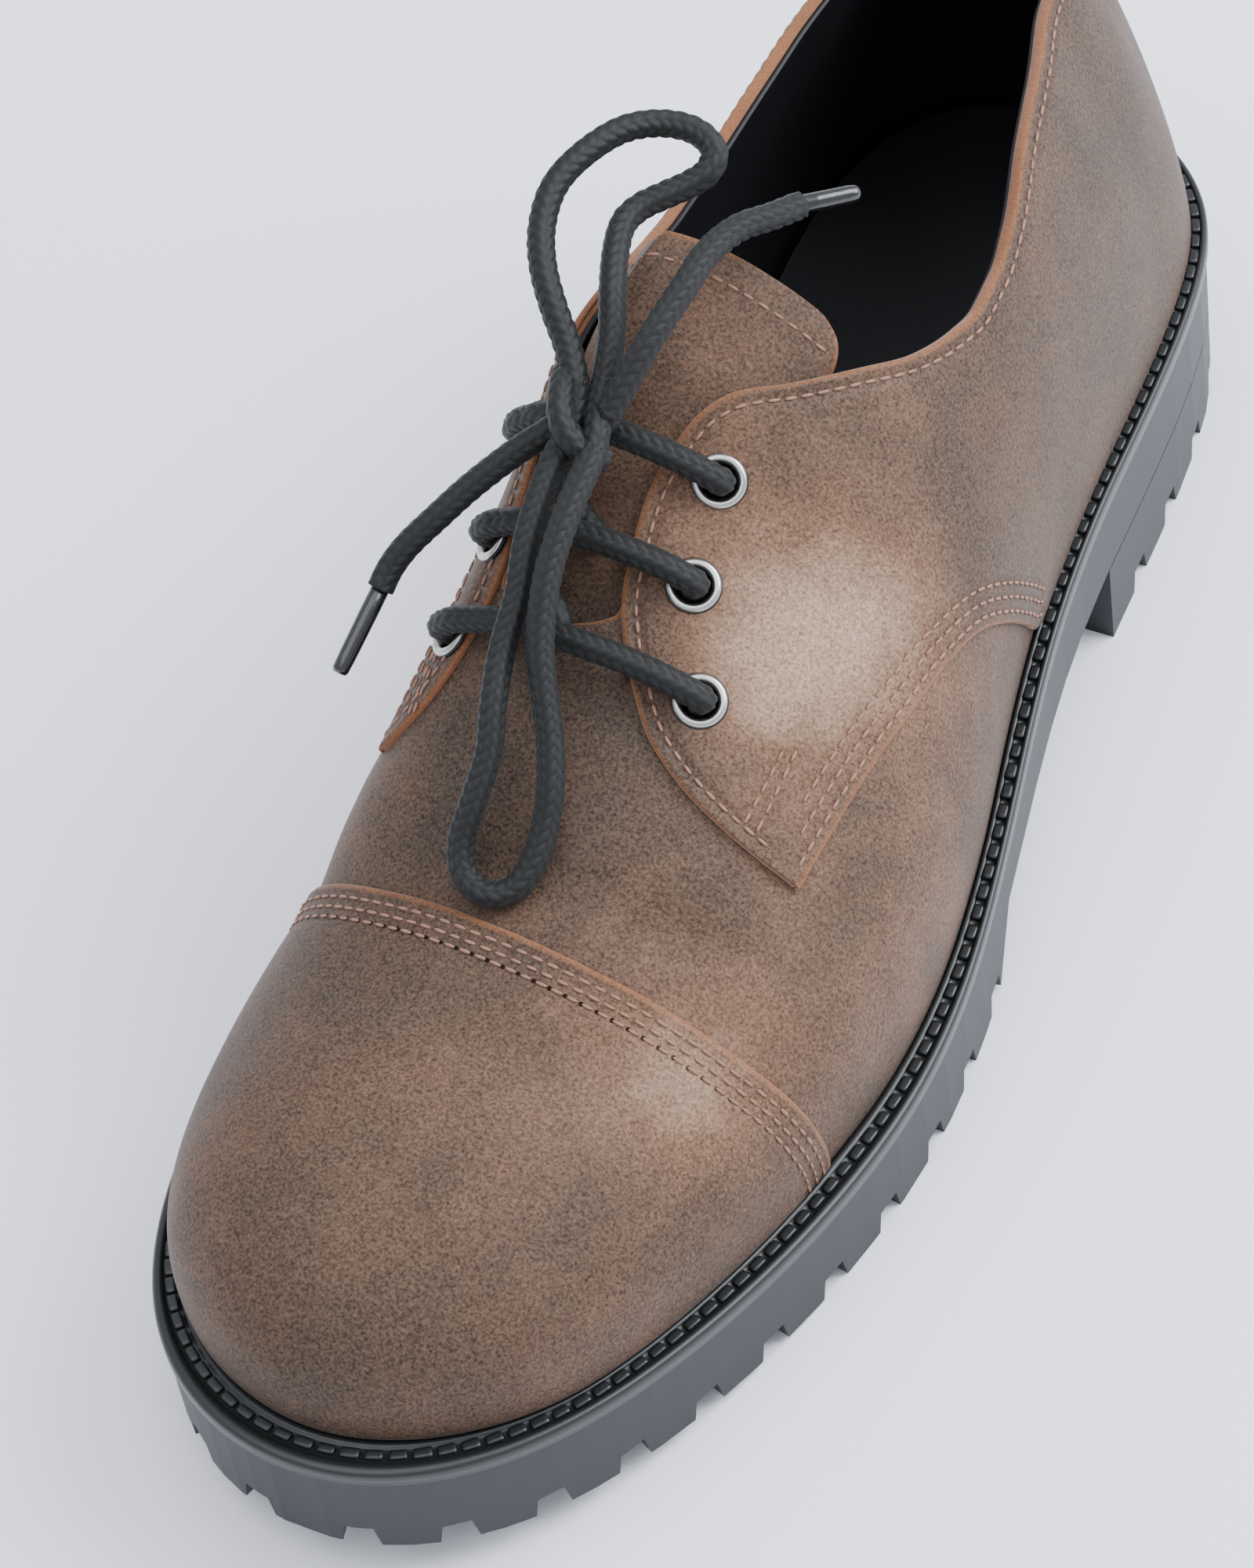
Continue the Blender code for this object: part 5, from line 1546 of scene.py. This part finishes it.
# Sole
@dataclass
class Sole:
    """Outsole, heel block, welt and insole."""

    last: Last
    finishes: Finishes
    lip_mm: float = 0.4
    block_mm: tuple[float, float, float] = (2.9, 1.7, 1.0)
    block_pitch_mm: float = 3.7
    across: Table = (
        (0.0, 0.0), (0.0, 0.45), (0.0, 0.70), (0.02, 0.82), (0.06, 0.93), (0.12, 1.0), (0.20, 1.03),
        (0.28, 1.0), (0.32, 0.93), (0.35, 0.84), (0.38, 0.80), (0.54, 0.79), (0.70, 0.80),
        (0.73, 0.84), (0.76, 0.91), (0.80, 0.96), (0.90, 0.98), (1.0, 0.96), (1.0, 0.0),
    )

    def ring_at(self, part: float, height: float, pairs: int) -> Array:
        """Points round the welt at a share of its width and of its thickness.

        Args:
            part: Share of the welt's width, from outside.
            height: Share of its thickness.
            pairs: Stations on each side.

        Returns:
            The points, one a row.
        """
        lip = self.lip_mm * 0.001

        def depth(s: Array) -> Array:
            """Inset of the ring at a share of the length."""
            return (self.last.row("welt", s) * 0.001 - self.last.clearance + lip) * part - lip

        x, y = self.last.ring(pairs, depth)
        z = self.last.sole_top(self.last.share(y)) + self.last.clearance
        return np.stack([x, y, z + self.last.welt_thickness * height], -1)

    def welt(self) -> bpy.types.Object:
        """The welt's ring with its rounded lip.

        Returns:
            The ring.
        """
        grid = np.stack([self.ring_at(part, height, 260) for part, height in self.across], 1)
        rows, columns = grid.shape[:2]
        faces = grid_faces(rows, columns, 0, True)
        for i in range(rows):
            k = (i + 1) % rows
            faces.append([i * columns + columns - 1, k * columns + columns - 1, k * columns, i * columns])
        return mesh_piece("welt_ring", grid.reshape(-1, 3), faces, [self.finishes.welt])

    def blocks(self) -> bpy.types.Object:
        """Moulded blocks in the welt's trough.

        Returns:
            The blocks, one mesh.
        """
        line = self.ring_at(0.545, 0.80, 700)
        line = even(np.concatenate([line, line[:1]]), 0.0005)
        ups = np.tile((0.0, 0.0, 1.0), (len(line), 1))
        return repeat_along("welt_blocks", [line], [ups], Shape.BLOCK, self.finishes.welt,
                            self.block_mm, self.block_pitch_mm, 0.15)

    def build(self, nodes: dict) -> None:
        """Makes the welt and dresses the solids that stay.

        Args:
            nodes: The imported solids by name.
        """
        ring, blocks = self.welt(), self.blocks()
        for piece in (ring, blocks):
            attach(piece, "root")
        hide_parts("welt")
        for name, finish in (("outsole", self.finishes.rubber), ("heel", self.finishes.rubber),
                             ("insole", self.finishes.lining)):
            nodes[name].data.materials.clear()
            nodes[name].data.materials.append(finish)


# Eyelets
@dataclass
class Eyelets:
    """Six rolled eyelets."""

    finishes: Finishes
    bore_mm: float = 5.4
    tube_mm: float = 6.4
    ring_mm: float = 9.1
    top_mm: float = 0.6
    seat_mm: float = -0.2
    depth_mm: float = 3.3

    def build(self, frames: Sequence[tuple[str, Array, Array]]) -> None:
        """Turns each eyelet where the CAD model has it.

        Args:
            frames: Name, centre and axis of each eyelet.
        """
        bore, tube, ring = self.bore_mm / 2, self.tube_mm / 2, self.ring_mm / 2
        crown = (ring + bore) / 2 - 0.1
        profile = [(bore, -self.depth_mm), (tube, -self.depth_mm), (tube, self.seat_mm),
                   (ring, self.seat_mm), (ring, self.seat_mm + 0.22), (ring - 0.12, self.seat_mm + 0.34),
                   (ring - 0.42, self.seat_mm + 0.36)]
        for t in np.linspace(0.0, math.pi, 13):
            profile.append((crown + 0.1 + (crown - bore - 0.05) * math.cos(t),
                            self.seat_mm + 0.36 + (self.top_mm + 0.05) * math.sin(t)))
        profile.append((bore, self.seat_mm + 0.1))
        for name, centre, axis in frames:
            metal = [self.finishes.oxide, self.finishes.nickel]
            piece = turned(f"{name}_ring", profile, centre, axis, metal, 72, 6)
            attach(piece, "root")
            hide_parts(name)


# Laces: free stretches in millimetres, as the part's source has them
FRONT_LOOP: Table = (
    (-18.5, -9.0, 105.5), (-18.8, -14.0, 103.6), (-18.2, -23.4, 99.6), (-16.9, -31.1, 94.5),
    (-16.5, -38.6, 90.0), (-14.9, -46.1, 86.0), (-13.6, -51.6, 81.5), (-13.9, -57.5, 76.5),
    (-14.6, -62.0, 71.5), (-12.9, -65.6, 68.0), (-8.8, -67.0, 66.5), (-4.9, -64.9, 66.8),
    (-3.0, -60.3, 69.6), (-2.9, -55.4, 73.5), (-3.6, -51.3, 77.5), (-5.6, -46.2, 82.0),
    (-8.3, -41.4, 87.0), (-10.6, -36.7, 92.0), (-12.2, -29.3, 98.2), (-12.6, -21.2, 102.8),
    (-12.5, -13.0, 105.8), (-12.6, -9.0, 106.8),
)
BACK_LOOP: Table = (
    (-19.2, -1.0, 109.8), (-22.8, 4.0, 113.0), (-26.7, 7.9, 117.0), (-30.3, 12.5, 120.0),
    (-33.1, 18.4, 122.0), (-34.0, 25.0, 124.0), (-32.4, 31.7, 125.0), (-28.9, 38.9, 125.0),
    (-24.2, 43.3, 124.0), (-18.8, 44.6, 123.0), (-14.8, 43.0, 121.5), (-14.5, 39.9, 120.0),
    (-16.5, 37.2, 119.0), (-19.3, 34.3, 118.5), (-22.4, 30.7, 118.0), (-23.4, 26.5, 117.8),
    (-21.9, 20.5, 117.3), (-19.6, 14.4, 116.0), (-17.3, 8.4, 112.9), (-15.6, 1.5, 109.6),
)
LEFT_END: Table = (
    (-21.5, -6.0, 105.0), (-25.0, -9.3, 103.2), (-28.3, -13.0, 101.2), (-31.9, -17.0, 98.5),
    (-35.4, -21.6, 95.5), (-39.0, -25.9, 92.0), (-40.9, -29.0, 89.2), (-41.6, -32.0, 87.0),
)
RIGHT_END: Table = (
    (-12.8, -3.5, 109.2), (-10.9, 0.7, 113.2), (-9.1, 6.8, 117.5), (-7.5, 15.4, 120.0),
    (-6.7, 22.6, 121.0), (-4.7, 29.6, 120.5), (-1.3, 35.2, 119.0), (1.1, 40.1, 117.5),
)
LEFT_TIP = (-43.0, -46.0, 81.0)
RIGHT_TIP = (8.0, 47.6, 115.5)
# Strands of the knot, the one round the outside last
KNOT: Sequence[Table] = (
    ((-18.5, -9.4, 105.2), (-18.2, -5.4, 107.6), (-18.6, -2.4, 109.0), (-19.8, 0.2, 110.6)),
    ((-12.6, -9.4, 106.6), (-13.6, -5.6, 108.2), (-14.8, -2.0, 108.8), (-15.5, 1.9, 110.0)),
    ((-22.4, -6.6, 104.6), (-20.2, -4.6, 105.6), (-17.0, -3.8, 106.8), (-14.2, -3.6, 108.2),
     (-12.2, -2.9, 110.2)),
    ((-13.0, -1.6, 103.4), (-16.4, -0.2, 103.6), (-20.0, -0.8, 104.4), (-21.8, -2.6, 106.8)),
    ((-21.6, 0.9, 108.6), (-22.0, 0.5, 110.2), (-20.8, -2.6, 111.2), (-19.5, -6.1, 110.8),
     (-18.1, -8.2, 109.6), (-16.1, -9.4, 107.9), (-13.9, -9.4, 105.9), (-11.9, -8.0, 103.6)),
)


@dataclass
class Laces:
    """One round braided lace: crossings, knot, two loops and two ends."""

    upper: Upper
    finishes: Finishes
    diameter: float = 0.0046
    tip_mm: float = 3.0
    columns: int = 8
    sides: int = 40
    step_mm: float = 0.30
    stitch_mm: float = 2.1
    rise_mm: float = 0.8

    def tube(self, name: str, route: Array, shrink: float = 1.0) -> bpy.types.Object:
        """Braided cord along a line of points.

        Args:
            name: The piece's name.
            route: Points of its middle line, metres.
            shrink: Share of the cord's diameter.

        Returns:
            The closed tube, with the height of its strands as an attribute.
        """
        line = through(route, self.step_mm * 0.001)
        way = unit(np.gradient(line, axis=0))
        side = [unit(np.cross(way[0], (0.3, 0.2, 1.0)))]
        for t in way[1:]:
            side.append(unit(side[-1] - t * float(side[-1] @ t)))
        side = np.array(side)
        other = np.cross(way, side)
        angle = np.arange(self.sides) * 2 * math.pi / self.sides
        run = np.arange(len(line))[:, None] * self.step_mm / self.stitch_mm
        column = (angle[None, :] / (2 * math.pi) * self.columns) % self.columns
        cell = column % 1
        odd = np.floor(column) % 2
        slant = np.where(odd > 0, cell, 1 - cell) * 0.75
        wave = np.abs(np.sin(math.pi * (run + slant + 0.5 * odd)))
        height = wave**0.4 * np.sin(math.pi * np.clip(cell, 0.06, 0.94)) ** 0.4
        radius = self.diameter / 2 * shrink * (0.82 + 0.18 * height)
        ring = np.cos(angle)[None, :, None] * side[:, None] + np.sin(angle)[None, :, None] * other[:, None]
        grid = line[:, None] + ring * radius[..., None]
        start, end = line[0] - way[0] * 0.0004, line[-1] + way[-1] * 0.0004
        points = np.concatenate([grid.reshape(-1, 3), [start, end]])
        rows, sides = len(line), self.sides
        faces = []
        for i in range(rows - 1):
            for j in range(sides):
                k = (j + 1) % sides
                faces.append([i * sides + j, i * sides + k, (i + 1) * sides + k, (i + 1) * sides + j])
        last = (rows - 1) * sides
        for j in range(sides):
            k = (j + 1) % sides
            faces.append([rows * sides, k, j])
            faces.append([rows * sides + 1, last + j, last + k])
        values = np.concatenate([height.ravel(), [0.3, 0.3]])
        return mesh_piece(name, points, faces, [self.finishes.braid], strand=values)

    def bar(self, row: Sequence[float]) -> Array:
        """Middle line of one crossing, out of one eyelet and into the other.

        Args:
            row: Share of length and girths of a pair of eyelets.

        Returns:
            The points, one a row.
        """
        last = self.upper.last
        lift = self.upper.overlay_mm * 0.001
        s = last.at_feather(row[0])
        flight = self.diameter / 2 + self.rise_mm * 0.001 + last.clearance
        route = []
        for side, girth in ((LATERAL, row[1]), (MEDIAL, row[2])):
            low, high = (last.skin(s, np.float64(side), np.float64(girth), h) for h in (lift, lift + 0.01))
            axis = unit(high - low)
            half = [low + axis * h for h in (-0.0030, 0.0004, 0.0022)]
            steps = np.linspace(girth, 1.0, 6)[1:] if side > 0 else np.linspace(girth, 1.0, 6)[1:-1]
            for k, g in enumerate(steps):
                half.append(last.skin(s, np.float64(side), np.float64(g),
                                      lift + flight * (1.02 if k else 1.0)))
            route += half if side > 0 else half[::-1]
        return np.array(route)

    def slant(self, upper: Sequence[float], lower: Sequence[float]) -> Array:
        """Lace that shows between the facings, from one row of eyelets down to the next.

        Args:
            upper: The upper pair of eyelets.
            lower: The lower pair.

        Returns:
            The points, one a row.
        """
        last = self.upper.last
        route = []
        for u in np.linspace(0, 1, 7):
            share = upper[0] + (lower[0] - upper[0]) * (0.02 + 0.96 * u)
            lateral, medial = float(smooth(COLLAR, 1, share)), float(smooth(COLLAR, 2, share))
            down = medial + (0.16 + 0.68 * u) * (2 - medial - lateral)
            side, girth = (MEDIAL, down) if down <= 1 else (LATERAL, 2 - down)
            step = min(max((share - 0.556) / 0.016, 0.0), 1.0)
            lift = self.diameter / 2 + last.clearance - self.upper.wall_mm * 0.001 * (1 - step)
            route.append(last.skin(last.at_feather(share), np.float64(side), np.float64(girth), lift))
        return np.array(route)

    def tip(self, name: str, start: Table, end: Table) -> bpy.types.Object:
        """Glossy sleeve on a lace's end.

        Args:
            name: The tip's name.
            start: Where the cord ends, mm.
            end: Where the tip ends, mm.

        Returns:
            The sleeve.
        """
        a, b = np.array(start) * 0.001, np.array(end) * 0.001
        length = float(np.linalg.norm(b - a)) * 1000
        r = self.tip_mm / 2
        profile = [(0.0, 0.1), (r * 0.9, 0.1), (r, 0.35), (r, length * 0.3), (r * 0.96, length * 0.8),
                   (r * 0.9, length - 1.0), (r * 0.72, length - 0.45), (0.0, length - 0.3)]
        return turned(f"{name}_sleeve", profile, a, unit(b - a), [self.finishes.film], 40)

    def build(self) -> None:
        """Makes the lace: its crossings, knot, loops, ends and tips."""
        bars = [self.bar(row) for row in EYELETS]
        slants = [self.slant(EYELETS[0], EYELETS[1]), self.slant(EYELETS[1], EYELETS[2])]
        crossings = [self.tube(f"lace_bar_{n}", route) for n, route in enumerate(bars, 1)]
        crossings += [self.tube(f"lace_slant_{n}", route, 0.98) for n, route in enumerate(slants, 1)]
        knot = [self.tube(f"knot_strand_{n}", np.array(route) * 0.001, 0.98)
                for n, route in enumerate(KNOT, 1)]
        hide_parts("laces")
        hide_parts("lace_knot")
        for piece in crossings + knot:
            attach(piece, "root")
        tips = {"lace_end_left": self.tip("aglet_left", LEFT_END[-1], LEFT_TIP),
                "lace_end_right": self.tip("aglet_right", RIGHT_END[-1], RIGHT_TIP)}
        for name, tip in tips.items():
            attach(tip, "root")
            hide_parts(name.replace("lace_end", "aglet"))
        for name, table in (("lace_loop_front", FRONT_LOOP), ("lace_loop_back", BACK_LOOP),
                            ("lace_end_left", LEFT_END), ("lace_end_right", RIGHT_END)):
            route = np.array(table) * 0.001
            piece = self.tube(f"{name}_braid", route)
            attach(piece, "root")
            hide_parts(name)


# Studio
@dataclass
class Studio:
    """Pale floor, soft light and the photograph's view."""

    aim: tuple[float, float, float] = (0.0, -0.0353, 0.060)
    place: tuple[float, float, float] = (0.30213, -0.49739, 0.75317)
    right: tuple[float, float, float] = (0.898, 0.427, -0.107)
    down: tuple[float, float, float] = (0.278, -0.739, -0.614)
    forward: tuple[float, float, float] = (-0.341, 0.521, -0.782)
    lens_mm: float = 161.2
    sensor_mm: float = 36.0

    def camera(self) -> None:
        """The camera, rolled as the photograph is."""
        data = bpy.data.cameras.new("camera")
        data.sensor_fit = "HORIZONTAL"
        data.sensor_width = self.sensor_mm
        data.lens = self.lens_mm
        data.clip_start = 0.05
        thing = bpy.data.objects.new("camera", data)
        axes = [Vector(self.right), -Vector(self.down), -Vector(self.forward)]
        turn = Matrix([[axis[row] for axis in axes] for row in range(3)])
        turn = turn.to_quaternion().to_matrix().to_4x4()
        thing.matrix_world = Matrix.Translation(Vector(self.place)) @ turn
        bpy.context.scene.collection.objects.link(thing)
        bpy.context.scene.camera = thing

    def lamp(self, name: str, place: tuple[float, float, float], size: float, power: float,
             colour: str) -> None:
        """A soft square light that faces the shoe.

        Args:
            name: The light's name.
            place: Where it hangs.
            size: Its side in metres.
            power: Its power in watts.
            colour: Its hex colour.
        """
        data = bpy.data.lights.new(name, "AREA")
        data.shape = "SQUARE"
        data.size = size
        data.energy = power
        data.color = linear(colour)[:3]
        thing = bpy.data.objects.new(name, data)
        thing.location = place
        thing.rotation_euler = (Vector(place) - Vector(self.aim)).to_track_quat("Z", "Y").to_euler()
        bpy.context.scene.collection.objects.link(thing)

    def build(self) -> None:
        """Makes the floor, the light and the camera."""
        half = 3.0
        corners = np.array([(-half, -half, 0), (half, -half, 0), (half, half, 0), (-half, half, 0)])
        paper = Finish("matt paper backdrop", "#fbfcff", 0.9, grain_mm=3.0, grain_depth_mm=0.0,
                       mottle=0.0, specular=0.1).build()
        floor = mesh_piece("floor", corners, [(0, 1, 2, 3)], [paper])
        world = bpy.data.worlds.new("soft light")
        world.use_nodes = True
        back = world.node_tree.nodes["Background"]
        back.inputs[0].default_value = linear("#f1f5ff")
        back.inputs[1].default_value = 1.2
        bpy.context.scene.world = world
        self.lamp("window", (0.75, 0.60, 0.95), 0.9, 28.0, "#f4f7ff")
        self.lamp("overhead", (-0.1, -0.2, 1.5), 1.4, 13.0, "#f6f8ff")
        self.camera()


def main() -> None:
    """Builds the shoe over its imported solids."""
    logging.basicConfig(level=logging.INFO, format="%(message)s")
    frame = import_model()
    Studio().build()
    last, finishes = Last(), Finishes()
    upper = Upper(last, finishes)
    upper.build()
    log.info("upper, tongue and stitches made")
    Sole(last, finishes).build(frame["nodes"])
    log.info("sole and welt made")
    Eyelets(finishes).build(upper.eyelets())
    log.info("eyelets made")
    Laces(upper, finishes).build()
    log.info("laces made")


if __name__ == "__main__":
    main()
